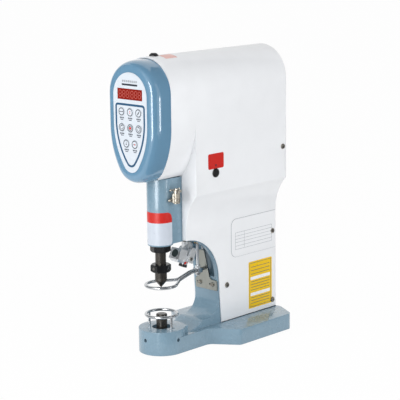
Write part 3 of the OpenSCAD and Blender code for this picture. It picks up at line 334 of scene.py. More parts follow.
# %% Mix the finishes
finishes = {
    "frame_paint": finish("frame_paint", rgb(121, 150, 168), (0.2, 0.32), coat=0.5, peel=(380, 0.2),
                          edge=0.8, worn=rgb(168, 190, 204)),
    "cover_paint": finish("cover_paint", rgb(237, 239, 242), (0.3, 0.42), tint=0.012, coat=0.4,
                          peel=(500, 0.02), edge=0.6, worn=rgb(240, 241, 243)),
    "nickel": finish("nickel", rgb(174, 169, 160), (0.2, 0.36), tint=0.08, metal=1.0, peel=(900, 0.05)),
    "bezel_gloss": finish("bezel_gloss", rgb(97, 139, 168), (0.1, 0.16), tint=0.02, coat=1.0,
                          peel=(260, 0.008)),
    "overlay_film": finish("overlay_film", rgb(207, 214, 222), (0.35, 0.45), tint=0.01, peel=(2500, 0.04),
                           gloss=0.2),
    "display_red": finish("display_red", rgb(132, 27, 17), (0.16, 0.26), tint=0.05, peel=(900, 0.02),
                          gloss=0.2),
    "circuit_board": finish("circuit_board", rgb(20, 92, 48), (0.35, 0.5), tint=0.1),
    "rubber_black": finish("rubber_black", rgb(15, 15, 16), (0.3, 0.45), tint=0.15, peel=(1500, 0.05)),
    "bronze": finish("bronze", rgb(176, 142, 92), (0.25, 0.4), tint=0.08, metal=1.0, peel=(900, 0.06)),
    "steel": finish("steel", rgb(190, 192, 195), (0.16, 0.34), tint=0.05, metal=1.0, peel=(1800, 0.05),
                    grain=(1, 1, 0.04)),
    "aluminium": finish("aluminium", rgb(200, 202, 205), (0.3, 0.45), metal=1.0, peel=(1500, 0.06),
                        grain=(0.05, 1, 1)),
    "motor_black": finish("motor_black", rgb(40, 40, 42), (0.35, 0.5), tint=0.1, metal=0.6),
    "supply_case": finish("supply_case", rgb(190, 192, 192), (0.3, 0.5), metal=1.0, peel=(700, 0.08)),
    "black_oxide": finish("black_oxide", rgb(27, 28, 30), (0.16, 0.28), tint=0.25, patch=150, metal=0.25,
                          gloss=0.25, peel=(1200, 0.03), edge=0.5, worn=rgb(66, 64, 64)),
    "chrome": finish("chrome", rgb(204, 207, 210), (0.05, 0.12), tint=0.03, metal=1.0, peel=(300, 0.012)),
    "lamp_glass": finish("lamp_glass", rgb(22, 22, 26), (0.05, 0.1), tint=0.1, coat=1.0),
    "socket_plastic": finish("socket_plastic", rgb(34, 34, 35), (0.4, 0.55), tint=0.1, peel=(1500, 0.1)),
    "rocker_red": finish("rocker_red", rgb(196, 36, 26), (0.2, 0.3), tint=0.04, coat=0.3),
}
worn_oxide = finish("worn_oxide", rgb(72, 69, 65), (0.16, 0.3), tint=0.2, patch=120, metal=0.7,
                    peel=(900, 0.08), grain=(1, 1, 0.04), edge=0.5, worn=rgb(104, 100, 96))
plate_steel = finish("plate_steel", rgb(158, 160, 154), (0.24, 0.4), tint=0.06, metal=1.0, peel=(1500, 0.05),
                     grain=(1, 0.05, 0.05), edge=0.4, worn=rgb(196, 198, 196))
wire_chrome = finish("wire_chrome", rgb(196, 199, 202), (0.14, 0.24), tint=0.04, metal=1.0,
                     peel=(300, 0.012))
lamp_chrome = finish("lamp_chrome", rgb(226, 229, 232), (0.08, 0.2), tint=0.05, patch=90, metal=0.6,
                     peel=(300, 0.03))
cup_nickel = finish("cup_nickel", rgb(188, 182, 170), (0.2, 0.34), tint=0.08, metal=1.0, peel=(900, 0.05))
print(len(finishes), "finishes mixed for the slots, and five more for some pieces")

# %% Dress the solids
slot_of = {part["node"]: part["material_slot"] for part in frame["record"]["subparts"]}


def dress(thing, material):
    """Give a piece one finish in place of what it has."""
    thing.data.materials.clear()
    thing.data.materials.append(material)


for node, solid in nodes.items():
    dress(solid, finishes[slot_of[node]])
for material, dressed in ((worn_oxide, ("punch_shaft", "punch", "lower_die")),
                          (plate_steel, ("guard_plate",)), (wire_chrome, ("guard_ring", "die_ring")),
                          (lamp_chrome, ("lamp_stem", "guard_rod", "guard_stop_pin")),
                          (cup_nickel, ("oil_cup", "oil_cup_lid"))):
    for node in dressed:
        dress(nodes[node], material)
print(len(nodes), "solids dressed")

# %% [markdown]
# ## Rounded edges
# Castings and painted sheet have no sharp edges: sand, polish and paint round them by a millimetre
# or so. The CAD solids are sharp there. A bevel modifier would act on every facet, so a copy of the
# solid is welded, its flat triangles are merged, and only long outer edges are rounded.

# %% Write the helpers for rounding
WELD, FLAT = 2e-6, math.radians(0.3)


def take_part(piece, body, smooth=30):
    """Link a piece, shade it smooth up to an angle and let it ride on a body."""
    piece.data.shade_smooth()
    piece.data.set_sharp_from_angle(angle=math.radians(smooth))
    bpy.context.scene.collection.objects.link(piece)
    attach(piece, body)
    return piece


def long_runs(edges, least):
    """Those edges that belong to a connected run with an extent of at least so many metres."""
    left, kept = set(edges), []
    while left:
        run, front = set(), [left.pop()]
        while front:
            edge = front.pop()
            run.add(edge)
            near = [e for v in edge.verts for e in v.link_edges if e in left]
            left.difference_update(near)
            front += near
        spots = [v.co for e in run for v in e.verts]
        if max(max(p[k] for p in spots) - min(p[k] for p in spots) for k in range(3)) >= least:
            kept += run
    return kept


def soften(node, name, width, body="frame", least=27, skip=lambda spot: False, corner=50, steps=3):
    """A copy of a solid with long outer edges rounded by a width in mm, which stands for the solid."""
    mesh = nodes[node].data.copy()
    mesh.name = name
    work = bmesh.new()
    work.from_mesh(mesh)
    bmesh.ops.remove_doubles(work, verts=work.verts, dist=WELD)
    bmesh.ops.dissolve_limit(work, angle_limit=FLAT, verts=work.verts, edges=work.edges)
    outer = [e for e in work.edges if len(e.link_faces) == 2 and e.is_convex]
    sharp = [e for e in outer if e.calc_face_angle() > math.radians(corner)
             and not skip((e.verts[0].co + e.verts[1].co) / 2 / MM)]
    chosen = long_runs(sharp, least * MM)
    bmesh.ops.bevel(work, geom=chosen, offset=width * MM, offset_type="OFFSET", segments=steps, profile=0.5,
                    affect="EDGES", clamp_overlap=True)
    work.to_mesh(mesh)
    work.free()
    piece = bpy.data.objects.new(name, mesh)
    dress(piece, finishes[slot_of[node]])
    take_part(piece, body)
    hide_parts(node)
    print(name, "has", len(chosen), "rounded edges")
    return piece


print("edges count as one run where they touch")

# %% Round the casting, the covers and the lamp
TABLE_EDGE, COVER_SPLIT = 1, 0.6
soften("machine_frame", "casting", 1.2, skip=lambda p: p.z < TABLE_EDGE)
for side in ("left", "right"):
    soften(side + "_cover", side + "_shell", 0.8, skip=lambda p: abs(p.x) < COVER_SPLIT)
dress(soften("lamp_head", "lamp_shell", 0.9, body="lamp", least=5), lamp_chrome)

# %% [markdown]
# ## Bezel
# The control head wears a glossy moulded bezel: an egg outline whose front edge rolls over in
# one big round. The CAD solid has that roll in a few flat steps, which gloss would show at once.
# So the bezel is lofted here from the same outline, ring by ring, with a fine roll that is fuller
# than a quarter of an ellipse.

# %% Write the helpers for an egg loft
SIDE_STEPS, CHIN_STEPS, TOP_STEPS, UPRIGHT_STEPS, ROLL_STEPS = 28, 16, 32, 6, 20


def lower_egg(half, side_z, chin, low, inset=0.0):
    """Right side of an egg outline in mm, from the end of its upright side down to the lowest point."""
    chin_z = low + chin
    side_r = (half ** 2 - chin ** 2 + (side_z - chin_z) ** 2) / (2 * (half - chin))
    sweep = math.asin((side_z - chin_z) / (side_r - chin))
    right = [(half - side_r + (side_r - inset) * math.cos(sweep * i / SIDE_STEPS),
              side_z - (side_r - inset) * math.sin(sweep * i / SIDE_STEPS)) for i in range(SIDE_STEPS + 1)]
    turns = [sweep + (math.pi / 2 - sweep) * i / CHIN_STEPS for i in range(1, CHIN_STEPS + 1)]
    return right + [((chin - inset) * math.cos(a), chin_z - (chin - inset) * math.sin(a)) for a in turns]


def both_sides(right):
    """An outline from its right side, which starts and ends on the middle line."""
    return right + [(-x, z) for x, z in right[-2:0:-1]]


def egg(half, axis_z, side_z, chin, low, inset=0.0):
    """Egg outline: round top, upright sides, long side arcs and a round chin."""
    top = [((half - inset) * math.sin(a), axis_z + (half - inset) * math.cos(a))
           for a in (math.pi / 2 * i / TOP_STEPS for i in range(TOP_STEPS + 1))]
    sides = [(half - inset, axis_z + (side_z - axis_z) * i / UPRIGHT_STEPS) for i in range(1, UPRIGHT_STEPS)]
    return both_sides(top + sides + lower_egg(half, side_z, chin, low, inset))


def add_piece(name, points, faces, material, body="frame", slot=None, smooth=30):
    """A new mesh piece in mm, with its faces turned outwards, that rides on a body."""
    mesh = bpy.data.meshes.new(name)
    mesh.from_pydata([Vector(p) * MM for p in points], [], faces)
    work = bmesh.new()
    work.from_mesh(mesh)
    bmesh.ops.recalc_face_normals(work, faces=work.faces)
    work.to_mesh(mesh)
    work.free()
    mesh.materials.append(material)
    return take_part(bpy.data.objects.new(name, mesh), body, smooth)


def loft(rings, closed=True):
    """Points and quads through rings of equally many points; closed joins the last ring to the first."""
    count = len(rings[0])
    points = [p for ring in rings for p in ring]
    faces = []
    for r in range(len(rings) if closed else len(rings) - 1):
        a, b = r * count, (r + 1) % len(rings) * count
        faces += [(a + i, a + (i + 1) % count, b + (i + 1) % count, b + i) for i in range(count)]
    return points, faces


def egg_ring(y, shape, inset=0.0):
    """An egg outline at a depth, drawn in by an inset."""
    return [(x, y, z) for x, z in egg(*shape, inset)]


print("an egg is drawn in", TOP_STEPS + UPRIGHT_STEPS + SIDE_STEPS + CHIN_STEPS, "steps a side")

# %% Loft the bezel
BEZEL = (44, 347.5, 306, 32.5, 232)
FACE = (30.5, 346.1, 310, 15, 247.4)
COVER_FRONT, ROLL_START, FACE_Y, ROLL_IN, FULL = -20, -26, -50, 13, 0.62
BACK_EDGE, LIP, POCKET, LEDGE, WALL = 0.3, 0.25, 1.5, 4, 2.5
HOLLOW_DEEP, HOLLOW_IN = 6, 8
roll = [math.pi / 2 * i / ROLL_STEPS for i in range(ROLL_STEPS + 1)]
rings = [egg_ring(COVER_FRONT, BEZEL, BACK_EDGE), egg_ring(COVER_FRONT - BACK_EDGE, BEZEL)]
rings += [egg_ring(ROLL_START - (ROLL_START - FACE_Y) * math.sin(a) ** FULL, BEZEL,
                   ROLL_IN * (1 - math.cos(a) ** FULL)) for a in roll]
rings += [egg_ring(FACE_Y, FACE, -LIP), egg_ring(FACE_Y + LIP, FACE), egg_ring(FACE_Y + POCKET, FACE),
          egg_ring(FACE_Y + POCKET, FACE, LEDGE), egg_ring(FACE_Y + LEDGE, FACE, LEDGE),
          egg_ring(FACE_Y + HOLLOW_DEEP, BEZEL, HOLLOW_IN), egg_ring(ROLL_START, BEZEL, WALL),
          egg_ring(COVER_FRONT, BEZEL, WALL)]
bezel = add_piece("bezel_shell", *loft(rings), finishes["bezel_gloss"], slot="bezel_gloss", smooth=40)
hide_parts("control_bezel")
print("bezel lofted through", len(rings), "rings")

# %% [markdown]
# ## Print on the panel
# The white overlay is a film with printed keys, a blue frame line and a dark red display window.
# Print could be painted in the material, but then its edges would need a map. Thin raised shapes
# stay crisp at any distance, and those on a key move with it. Each print is an outline, or an
# outer and an inner outline, pushed out a few hundredths of a millimetre from the surface.

# %% Mix the inks
ink_tones = {"ink_blue": (44, 84, 116), "dark_ink_and_slot_shade": (48, 54, 64), "ink_grey": (92, 98, 108),
             "ink_red": (206, 44, 34), "rule_ink_and_edge_shade": (160, 165, 172), "digit_red": (186, 88, 78),
             "card_white": (238, 239, 240)}
inks = {name: finish(name, rgb(*tone), (0.35, 0.5), tint=0.05, patch=200, peel=(2500, 0.03), gloss=0.2)
        for name, tone in ink_tones.items()}
print(len(inks), "inks mixed")

# %% Write the helpers for print
SHARP_CORNER, CORNER_POINTS, PRINT_HIGH = 0.02, 7, 0.05


def circle(radius, at=(0, 0), count=32, start=0.0, turn=math.tau):
    """Points round a circle, or along an arc of it."""
    last = count if turn == math.tau else count - 1
    angles = [start + turn * i / last for i in range(count)]
    return [(at[0] + radius * math.cos(a), at[1] + radius * math.sin(a)) for a in angles]


def bar(start, end, width):
    """A straight stroke as four points."""
    along = (Vector(end) - Vector(start)).normalized() * width / 2
    side = Vector((-along.y, along.x))
    return [tuple(Vector(start) - side), tuple(Vector(end) - side), tuple(Vector(end) + side),
            tuple(Vector(start) + side)]


def card(low, high, radius, corners="abcd"):
    """A rectangle; its named corners, from the low left one round, are rounded."""
    ways_in = {"a": (low[0], low[1], 1, 1), "b": (high[0], low[1], -1, 1), "c": (high[0], high[1], -1, -1),
               "d": (low[0], high[1], 1, -1)}
    outline = []
    for quarter, (name, (x, y, right, up)) in enumerate(ways_in.items()):
        r = radius if name in corners else SHARP_CORNER
        outline += circle(r, (x + right * r, y + up * r), CORNER_POINTS, math.pi + quarter * math.pi / 2,
                          math.pi / 2)
    return outline


def print_on(name, shapes, place, ink, body="frame", high=PRINT_HIGH, slot=None):
    """Thin raised shapes; place turns across, up and out into a point in mm."""
    points, faces = [], []
    for shape in shapes:
        outer, inner = shape if isinstance(shape, tuple) else (shape, None)
        first, count = len(points), len(outer)
        rings = [[place(*p, h) for p in outer] for h in (0, high)]
        if inner:
            rings += [[place(*p, h) for p in inner] for h in (high, 0)]
        ring_points, quads = loft(rings, closed=bool(inner))
        points += ring_points
        faces += [tuple(first + k for k in quad) for quad in quads]
        if not inner:
            faces += [tuple(range(first, first + count)), tuple(range(first + count, first + 2 * count))]
    return add_piece(name, points, faces, ink, body, slot)


def on_panel(across, up, out):
    """The panel's front, as across, height and out of it."""
    return across, FACE_Y - out, up


print("print is laid on the panel at", FACE_Y, "mm")

# %% Print the frame line and the heading


def shield(inset):
    """Outline of the frame line: straight top with rounded corners, then down to a round point."""
    half, top, corner = 27.0, 336.4, 4.5
    arc = circle(corner - inset, (half - corner, top - corner), 9, math.pi / 2, -math.pi / 2)
    return both_sides([(0, top - inset)] + arc + lower_egg(half, 314, 9.5, 254.5, inset))


LINE_WIDE, BLOCKS = 2.8, 8
print_on("frame_line", [(shield(0), shield(LINE_WIDE))], on_panel, inks["ink_blue"])
print_on("heading_bar", [card((-14.2, 359.4), (14.2, 361.8), 0.4)], on_panel, inks["dark_ink_and_slot_shade"])
print_on("heading_blocks", [card((-13.6 + 3.5 * i, 363.6), (-10.9 + 3.5 * i, 366.4), 0.6)
                            for i in range(BLOCKS)], on_panel, inks["rule_ink_and_edge_shade"])
print("frame line and heading printed")

# %% Draw the unlit digits of the display
DISPLAY_Z, STROKE_WIDE, LEVEL_HALF, UPRIGHT_LONG = 348.5, 0.9, 1.6, 3.3
strokes = [bar((0, DISPLAY_Z - 6.4), (0, DISPLAY_Z + 6.4), 0.35)]
for digit_x in (-17.6, -10.9, -4.2, 4.2, 10.9, 17.6):
    for level in (-4.3, 0, 4.3):
        z = DISPLAY_Z + level
        strokes.append(bar((digit_x - LEVEL_HALF, z), (digit_x + LEVEL_HALF, z), STROKE_WIDE))
    for x in (digit_x - 2.2, digit_x + 2.2):
        for low in (-3.8, 0.5):
            strokes.append(bar((x, DISPLAY_Z + low), (x, DISPLAY_Z + low + UPRIGHT_LONG), STROKE_WIDE))
print_on("display_digits", strokes, on_panel, inks["digit_red"], high=0.03)
print(len(strokes), "strokes drawn in the display")

# %% [markdown]
# ## Keys
# Each key is a shallow cap with a rounded rim that stands out of the film a little. It could be cut
# from the film's outline, but a lathe makes one from a short profile, and eight of them take the
# places of the plain CAD caps. Each carries a ring and a plain sign. Below it on the film are three
# small blocks and a bar.

# %% Write the lathe and the arrow


def lathe(name, profile, place, material, body="frame", slot=None, steps=48, smooth=35):
    """Turn a profile of (radius, along) round an axis; place turns across, up and along into a point."""
    rings = [[place(*p, along) for p in circle(radius, count=steps)] for radius, along in profile]
    points, faces = loft(rings, closed=False)
    last = len(points) - steps
    faces += [tuple(range(steps)), tuple(range(last, last + steps))]
    return add_piece(name, points, faces, material, body, slot, smooth)


def arrow_round(turn):
    """A circling arrow as a band and a head, clockwise or the other way."""
    outer, inner = (circle(radius, (0, 0), 18, math.pi / 2, turn * 4.9) for radius in (2.9, 2.2))
    return [outer + inner[::-1], [(0, 1.3), (turn * 1.9, 2.5), (0, 3.8)]]


print("the lathe turns a profile round an axis")

# %% Draw the signs
signs = [
    ([bar((-3.1, 0), (3.1, 0), 0.8), bar((-3.1, -0.9), (-3.1, 0.9), 0.6), bar((3.1, -0.9), (3.1, 0.9), 0.6)],
     []),
    ([], [[(-1, 0.5), (1, 0.5), (0, 2.1)], [(1, -0.5), (-1, -0.5), (0, -2.1)]]),
    ([[(-1.9, -2.4), (-0.9, -2.6), (2.1, 1.9), (1.5, 2.5), (-0.4, 0.6)]], []),
    (arrow_round(1), []),
    ([(circle(3.2), circle(2.4))], [circle(1.8)]),
    (arrow_round(-1), []),
    ([circle(1.0, (0, -0.9)), bar((0, 1.2), (0, 2.8), 0.7)], []),
    ([bar((-3.1, 0), (-1.4, 0), 0.7), bar((1.4, 0), (3.1, 0), 0.7)], [circle(0.9)]),
]
print(len(signs), "signs drawn, dark parts and red parts apart")

# %% Turn the keys
KEY_FRONT, KEY_ACROSS, KEY_DOWN, KEY_TOP_Z = 0.6, 15.4, 20.4, 325.5
CAP = [(6.2, -3.2), (6.2, -2.2), (5.5, -2.2), (5.5, -0.4), (5.4, -0.15), (5.2, -0.02), (4.8, 0), (0.4, 0)]
ROWS = ((-1, 0, 1), (-1, 0, 1), (-0.5, 0.5))
key_places = [(col * KEY_ACROSS, KEY_TOP_Z - row * KEY_DOWN) for row, cols in enumerate(ROWS) for col in cols]
captions = []
for number, ((key_x, key_z), (dark, red)) in enumerate(zip(key_places, signs), 1):
    def on_key(across, up, out, x=key_x, z=key_z):
        """The front of this key, as across, up and out of it."""
        return x + across, FACE_Y - KEY_FRONT - out, z + up

    button = f"button_{number}"
    cap = lathe(f"key_cap_{number}", CAP, on_key, finishes["overlay_film"], button, "overlay_film")
    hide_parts(f"key_{number}")
    print_on(f"key_sign_{number}", [(circle(5.1, count=48), circle(4.1, count=48))] + dark, on_key,
             inks["dark_ink_and_slot_shade"], button)
    if red:
        print_on(f"key_mark_{number}", red, on_key, inks["ink_red"], button)
    for across in (-2.7, 0, 2.7):
        captions.append(card((key_x + across - 1.1, key_z - 8.8), (key_x + across + 1.1, key_z - 6.8), 0.3))
    captions.append(card((key_x - 2.6, key_z - 10.7), (key_x + 2.6, key_z - 9.6), 0.2))
print_on("key_captions", captions, on_panel, inks["ink_grey"])
print(len(key_places), "keys turned")

# %% [markdown]
# ## Painted shade behind the bezel
# Where the bezel meets the covers a soft grey ring fills the seam: painted shade for the soft shade
# there. It follows the same egg outline, so it is another short loft, set just behind the front
# edge of the covers.

# %% Lay the painted shade ring
HEAD = (44, 350, 310, 30, 230)
SEAM_SHADE_RINGS = ((-19.7, 2.2), (-19.7, 5.5), (-17.5, 5.5), (-17.5, 2.2))
seam_shade_grey = finish("seam_shade_grey", rgb(150, 156, 160), (0.5, 0.7), tint=0.06, peel=(1200, 0.05))
# A grey ring in the seam behind the bezel: painted shade for the soft shade there.
add_piece("bezel_seam_shade", *loft([egg_ring(y, HEAD, inset) for y, inset in SEAM_SHADE_RINGS]), seam_shade_grey)
print("seal laid through", len(SEAM_SHADE_RINGS), "rings")

# %% [markdown]
# ## Patches and plates
# The machine wears a few coloured patches of vinyl, laid on flat and curved walls. They carry no more
# than ruled lines, two boxes and a small pointer. On a curve the patch is a strip of narrow quads
# that follows the wall, with the corners rounded by shortening the outer columns. Between them a
# slightly raised panel on the column has an empty table.

# %% Mix the vinyl and write the helpers for curved walls
GUIDE_R, WRAP_END, WRAP_STEPS = 17.0, 32.0, 64
vinyl_tones = {"vinyl_red": (200, 27, 16), "vinyl_pale": (198, 206, 217), "vinyl_yellow": (238, 196, 14),
               "vinyl_faded": (236, 184, 176)}
vinyl = {name: finish(name, rgb(*tone), (0.25, 0.38), tint=0.03, patch=60, peel=(500, 0.02))
         for name, tone in vinyl_tones.items()}


def round_guide(along, up, out):
    """The guide's wall: distance round it from the front, height and out."""
    quarter = GUIDE_R * math.pi / 2
    if abs(along) > quarter:
        return math.copysign(GUIDE_R + out, along), abs(along) - quarter, up
    turn = along / GUIDE_R
    return (GUIDE_R + out) * math.sin(turn), -(GUIDE_R + out) * math.cos(turn), up


def round_head(along, up, out):
    """The round top of the head: distance from its ridge, depth and out."""
    turn = along / HEAD[0]
    return (HEAD[0] + out) * math.sin(turn), up, HEAD[1] + (HEAD[0] + out) * math.cos(turn)


def wrap(name, start, end, low, high, place, ink, low_corner=0.0, high_corner=0.0, thick=0.06):
    """A patch on a curved wall, from column to column; its outer corners have these radii."""
    columns = []
    for i in range(WRAP_STEPS + 1):
        along = start + (end - start) * i / WRAP_STEPS
        gap = min(along - start, end - along)
        cut = [r - math.sqrt(max(0, r * r - max(0, r - gap) ** 2)) for r in (low_corner, high_corner)]
        base, top = low + cut[0], high - cut[1]
        columns.append([place(along, base, 0), place(along, base, thick), place(along, top, thick),
                        place(along, top, 0)])
    points, faces = loft(columns, closed=False)
    last = len(points) - 4
    return add_piece(name, points, faces + [(0, 1, 2, 3), (last, last + 1, last + 2, last + 3)], ink)


print(len(vinyl), "vinyl tones mixed")

# %% Wrap the ram guide and the head's top
wrap("guide_band_red", -WRAP_END, WRAP_END, 176, 190, round_guide, vinyl["vinyl_red"], high_corner=9)
wrap("guide_band_pale", -WRAP_END, WRAP_END, 146.2, 176, round_guide, vinyl["vinyl_pale"], low_corner=4)
wrap("top_patch", 1.5, 17, -0.5, 21, round_head, vinyl["vinyl_faded"], low_corner=0.5, high_corner=0.5)
print("two bands and a top patch wrapped")

# %% Stick the patch above the side plug
HEAD_SIDE, COLUMN_SIDE = 44.0, 24.5


def on_wall(wall, side=1):
    """A flat side wall on the right, or with -1 on the left, as depth, height and out of it."""
    return lambda depth, up, out: (side * (wall + out), depth, up)


print_on("side_patch", [card((47, 242.5), (77, 263), 2.4)], on_wall(HEAD_SIDE), vinyl["vinyl_red"])
print_on("side_patch_pointer", [[(59.8, 248.2), (63.6, 248.2), (61.7, 244.4)]],
         on_wall(HEAD_SIDE + PRINT_HIGH), inks["dark_ink_and_slot_shade"])
print("side patch stuck")

# %% Fix the side panel and its blank table
PANEL_HIGH, TABLE_LOW, TABLE_HIGH, RULE = 0.6, (119.5, 119), (195.5, 143), 0.45
print_on("side_panel", [card((112, 109), (203.6, 162), 9, "ad")], on_wall(COLUMN_SIDE),
         finishes["cover_paint"], high=PANEL_HIGH, slot="cover_paint")
rules = [(card(TABLE_LOW, TABLE_HIGH, 0.4), card((TABLE_LOW[0] + RULE, TABLE_LOW[1] + RULE),
                                                 (TABLE_HIGH[0] - RULE, TABLE_HIGH[1] - RULE), 0.2))]
rules += [bar((TABLE_LOW[0], z), (TABLE_HIGH[0], z), RULE) for z in (124, 129, 133.5, 138)]
rules += [bar((138, TABLE_LOW[1]), (138, TABLE_HIGH[1]), RULE)]
print_on("blank_table", rules, on_wall(COLUMN_SIDE + PANEL_HIGH), inks["rule_ink_and_edge_shade"])
# A thin grey ring round the raised panel's edge is painted shade for the edge's shade line; the table's rules
# are print.
panel_edge_shade = (card((111.6, 108.6), (203.6, 162.4), 9.4, "ad"), card((112, 109), (203.2, 162), 9, "ad"))
print_on("panel_shade_line", [panel_edge_shade], on_wall(COLUMN_SIDE), inks["rule_ink_and_edge_shade"], high=0.3)
print("side panel fixed, its table has", len(rules), "rules")

# %% Stick the ruled yellow card
print_on("ruled_card", [card((147, 29), (196, 96), 1.8)], on_wall(COLUMN_SIDE), vinyl["vinyl_yellow"])
on_card = on_wall(COLUMN_SIDE + PRINT_HIGH)
card_lines = [(card((149, 31), (194, 94), 0.8), card((149.6, 31.6), (193.4, 93.4), 0.5))]
card_lines += [bar((152, z), (191, z), 0.7) for z in (88, 83, 78, 67, 63, 59, 55, 44, 40, 36)]
print_on("card_lines", card_lines, on_card, inks["ink_grey"])
print_on("card_boxes", [card((151, low), (192, low + 4.6), 0.4) for low in (69.5, 46.5)], on_card,
         inks["card_white"])
print("yellow card ruled with", len(card_lines), "lines")

# %% [markdown]
# ## Painted shade under the covers
# A thin dark line shows where the covers stand on the base: the shade in their seam. A thin dark
# strip along each cover's foot is painted shade that draws this line. It is simpler than a gap
# that casts it.

# %% Lay the painted shade strips
SHADE_STRIP_FRONT, SHADE_STRIP_BACK, SHADE_STRIP_Z, SHADE_STRIP_HIGH = 91.6, 204.4, 22.45, 0.9
# A thin dark strip at each cover's foot is painted shade for the shadow line in the seam.
for name, side in (("right", 1), ("left", -1)):
    shade_strip = bar((SHADE_STRIP_FRONT, SHADE_STRIP_Z), (SHADE_STRIP_BACK, SHADE_STRIP_Z), SHADE_STRIP_HIGH)
    print_on(f"foot_shade_strip_{name}", [shade_strip], on_wall(COLUMN_SIDE, side), finishes["rubber_black"], high=0.15,
             slot="rubber_black")
print("gaskets laid from", SHADE_STRIP_FRONT, "to", SHADE_STRIP_BACK, "mm")

# %% [markdown]
# ## Oil cup
# A small oil cup feeds the ram guide. It is a turned nickel cup with a fluted grip, a ball ended
# elbow and a lid with a cross pin. The flutes are one outline with two radii, lofted up the
# cup; the round parts are turned on the same lathe as the keys.

# %% Flute the cup and turn its small parts
CUP, FLUTE_STEPS, FLUTE_DEEP = Vector((25, 6, 202)), 64, 0.5
GRIP_IN, GRIP_LOW, GRIP_TOP = 4.2, 1.2, 13.6


def fluted(radius, height):
    """A ring of flutes round the cup: two steps out, two steps in."""
    return [(CUP.x + r * math.cos(a), CUP.y + r * math.sin(a), CUP.z + height) for i in range(FLUTE_STEPS)
            for r, a in [(radius + (FLUTE_DEEP if i % 4 < 2 else 0), math.tau * i / FLUTE_STEPS)]]


cup_rings = [fluted(4.3, GRIP_LOW), fluted(4.6, 1.6), fluted(4.6, 13.2), fluted(4.3, GRIP_TOP)]
cup_rings += [[(x, y, CUP.z + height) for x, y in circle(GRIP_IN, (CUP.x, CUP.y), FLUTE_STEPS)]
              for height in (GRIP_TOP, GRIP_LOW)]
add_piece("cup_grip", *loft(cup_rings), cup_nickel, slot="nickel", smooth=20)


def ball(radius, along, first=-85, last=85):
    """Profile of a ball on the lathe, around a place along the axis."""
    return [(radius * math.cos(math.radians(a)), along + radius * math.sin(math.radians(a)))
            for a in range(first, last + 1, 10)]


def elbow(across, up, along):
    """Along the line from the cup's foot to the guide's wall."""
    line = Vector((-0.56, -0.83, 0))
    side = Vector((0.83, -0.56, 0))
    foot = CUP + Vector((0, 0, 4.2))
    return tuple(foot + line * along + side * across + Vector((0, 0, up)))


PIN_UP, SMALL_STEPS = 18.9, 24
lathe("cup_elbow", [(1.6, 3.5), (1.6, 7.4)] + ball(2.3, 9.2, -45, 85), elbow, cup_nickel, slot="nickel",
      steps=SMALL_STEPS)
lathe("lid_pin", [(1.2, -5.2), (0.9, -5.0), (0.9, 9.2)] + ball(1.7, 10.6, -55, 85),
      lambda across, up, along: (CUP.x + across, CUP.y - along, CUP.z + PIN_UP + up), cup_nickel, "oil_lid",
      "nickel", SMALL_STEPS)
lathe("lid_boss", [(2.4, 17.6), (2.4, 18.4), (1.9, 19.9), (0.3, 20.1)],
      lambda across, up, along: (CUP.x + across, CUP.y + up, CUP.z + along), cup_nickel, "oil_lid", "nickel",
      SMALL_STEPS)
print("cup fluted, with an elbow, a pin and a boss")

# %% [markdown]
# ## Pointer lamp
# The lamp throws a small red pattern on the work to show where the punch will land. Its nose carries
# a red line, a red dot and a dark ribbed grip for focusing, its housing has a dark round cap and its
# yoke a screw whose slot is a dark bar of painted shade. All of these are made in the lamp's own
# tilted frame, so they swing with it.
# A dull brass washer sits above the stem's collar and stays with the frame.

# %% Turn the lamp's nose
LAMP_AT, LAMP_TILT = Vector((0, 50.5, 126.7)), math.radians(25)
DOT_AT, DOT_WAY = (4.94, 2.3, 17.7), (0.906, 0.423)


def in_lamp(across, up, along):
    """A point in the lamp's frame: across, towards the operator and along the beam."""
    return (LAMP_AT.x + across, LAMP_AT.y - up * math.cos(LAMP_TILT) - along * math.sin(LAMP_TILT),
            LAMP_AT.z + up * math.sin(LAMP_TILT) - along * math.cos(LAMP_TILT))


def on_nose(across, up, along):
    """The right of the lamp's nose, turned a little to the operator: across, up and out of it."""
    right, ahead = DOT_WAY
    return in_lamp(DOT_AT[0] + across * ahead + along * right, DOT_AT[1] - across * right + along * ahead,
                   DOT_AT[2] + up)


RIBS, RIB_STEP = 4, 0.75
ribs = [(5.52, 19.4)]
for rib in range(RIBS):
    ribs += [(radius, start + RIB_STEP * rib)
             for radius, start in ((5.85, 19.5), (5.85, 19.8), (5.6, 19.9), (5.6, 20.15))]
lathe("lamp_grip", ribs + [(5.3, 22.6), (4.4, 22.6)], in_lamp, finishes["socket_plastic"], "lamp",
      "socket_plastic")
lathe("lamp_red_line", [(5.5, 15.55), (5.6, 15.6), (5.6, 16.3), (5.5, 16.35)], in_lamp, inks["ink_red"],
      "lamp")
lathe("lamp_red_dot", [(1.5, -0.3), (1.45, 0.1), (1.0, 0.35), (0.2, 0.42)], on_nose, inks["ink_red"], "lamp",
      steps=20)
print("nose turned with", RIBS, "ribs")

# %% Turn the lamp's cap, screw and washer
CAP_OUT, CAP_ALONG, SCREW_OUT, SLOT_SHADE_OUT, SCREW_ALONG = 21.5, 9, 11.35, 12.2, 10
cap_grey = finish("cap_grey", rgb(66, 80, 80), (0.12, 0.22), tint=0.08, metal=0.5)
lathe("lamp_cap", [(5.4, -0.3), (5.4, 0.35), (5.1, 0.5), (4.7, 0.5), (4.5, 0.15), (0.3, 0.1)],
      lambda across, up, along: in_lamp(across, CAP_OUT + along, CAP_ALONG + up), cap_grey, "lamp")
lathe("lamp_side_screw", [(2.7, -0.2), (2.7, 0.5), (2.3, 0.8), (0.3, 0.85)],
      lambda across, up, along: in_lamp(SCREW_OUT + along, across, SCREW_ALONG + up), cup_nickel, "lamp",
      "nickel", SMALL_STEPS)
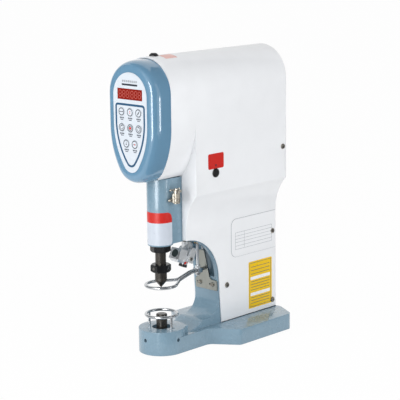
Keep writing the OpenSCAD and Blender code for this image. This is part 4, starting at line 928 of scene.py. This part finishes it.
# The screw's slot is not cut: a thin dark bar is painted shade for it.
print_on("lamp_slot_shade", [bar((-0.4, -2.0), (0.4, 2.0), 0.9)],
         lambda across, up, out: in_lamp(SLOT_SHADE_OUT + out, across, SCREW_ALONG + up), inks["dark_ink_and_slot_shade"], "lamp")
dull_brass = finish("dull_brass", rgb(104, 92, 62), (0.25, 0.4), tint=0.1, metal=1.0, peel=(900, 0.06))
lathe("lamp_washer", [(4.55, 14.0), (8.2, 14.0), (8.4, 14.3), (8.4, 15.0), (8.2, 15.3), (4.55, 15.3)],
      lambda across, up, along: (across, LAMP_AT.y + up, LAMP_AT.z + along), dull_brass, slot="bronze")
print("cap, screw and washer turned")

# %% [markdown]
# ## Punch and nuts
# The punch holder is black oxide steel. The clamp nut has a set screw in one flat and the punch has
# two fine turned lines above its point. Both are small, so a lathe ring and a shallow cup are enough.

# %% Turn the lines and the set screw
bright_line = finish("bright_line", rgb(112, 110, 106), (0.25, 0.4), tint=0.1, metal=1.0, peel=(1500, 0.05))
LINE_IN, LINE_OUT, LINE_HEIGHTS = 7.98, 8.04, (96.4, 98.2)
for number, height in enumerate(LINE_HEIGHTS, 1):
    lathe(f"punch_line_{number}", [(LINE_IN, height), (LINE_OUT, height + 0.05), (LINE_OUT, height + 0.4),
                                   (LINE_IN, height + 0.45)],
          lambda across, up, along: (across, up, along), bright_line, "ram")
FLAT_TURN, FLAT_OUT, SCREW_Z = math.radians(-96.3), 12, 112.6


def on_flat(across, up, along):
    """The clamp nut's left flat: across it, up and out."""
    out = Vector((math.cos(FLAT_TURN), math.sin(FLAT_TURN), 0)) * (FLAT_OUT + along)
    side = Vector((-math.sin(FLAT_TURN), math.cos(FLAT_TURN), 0))
    return tuple(out + side * across + Vector((0, 0, SCREW_Z + up)))


lathe("clamp_set_screw", [(2.1, 0), (2.1, 0.12), (1.7, 0.15), (1.5, 0.02), (0.9, 0.01), (0.2, 0.01)], on_flat,
      bright_line, "ram", steps=SMALL_STEPS)
print(len(LINE_HEIGHTS), "lines and a set screw turned")

# %% [markdown]
# ## Guard spring
# A coil spring inside the column holds the finger guard up. When the guard drops, the head of its rod
# presses the coil together. A rigid coil would be cut through by the rod's head. Here a copy of the
# solid, with a mesh of its own, stands for the CAD spring and rides on the frame; it is not pressed.
# Its foot rests in the casting.

# %% Copy the spring
coil = bpy.data.objects.new("spring_coil", nodes["guard_spring"].data.copy())
take_part(coil, "frame")
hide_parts("guard_spring")
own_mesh(coil)
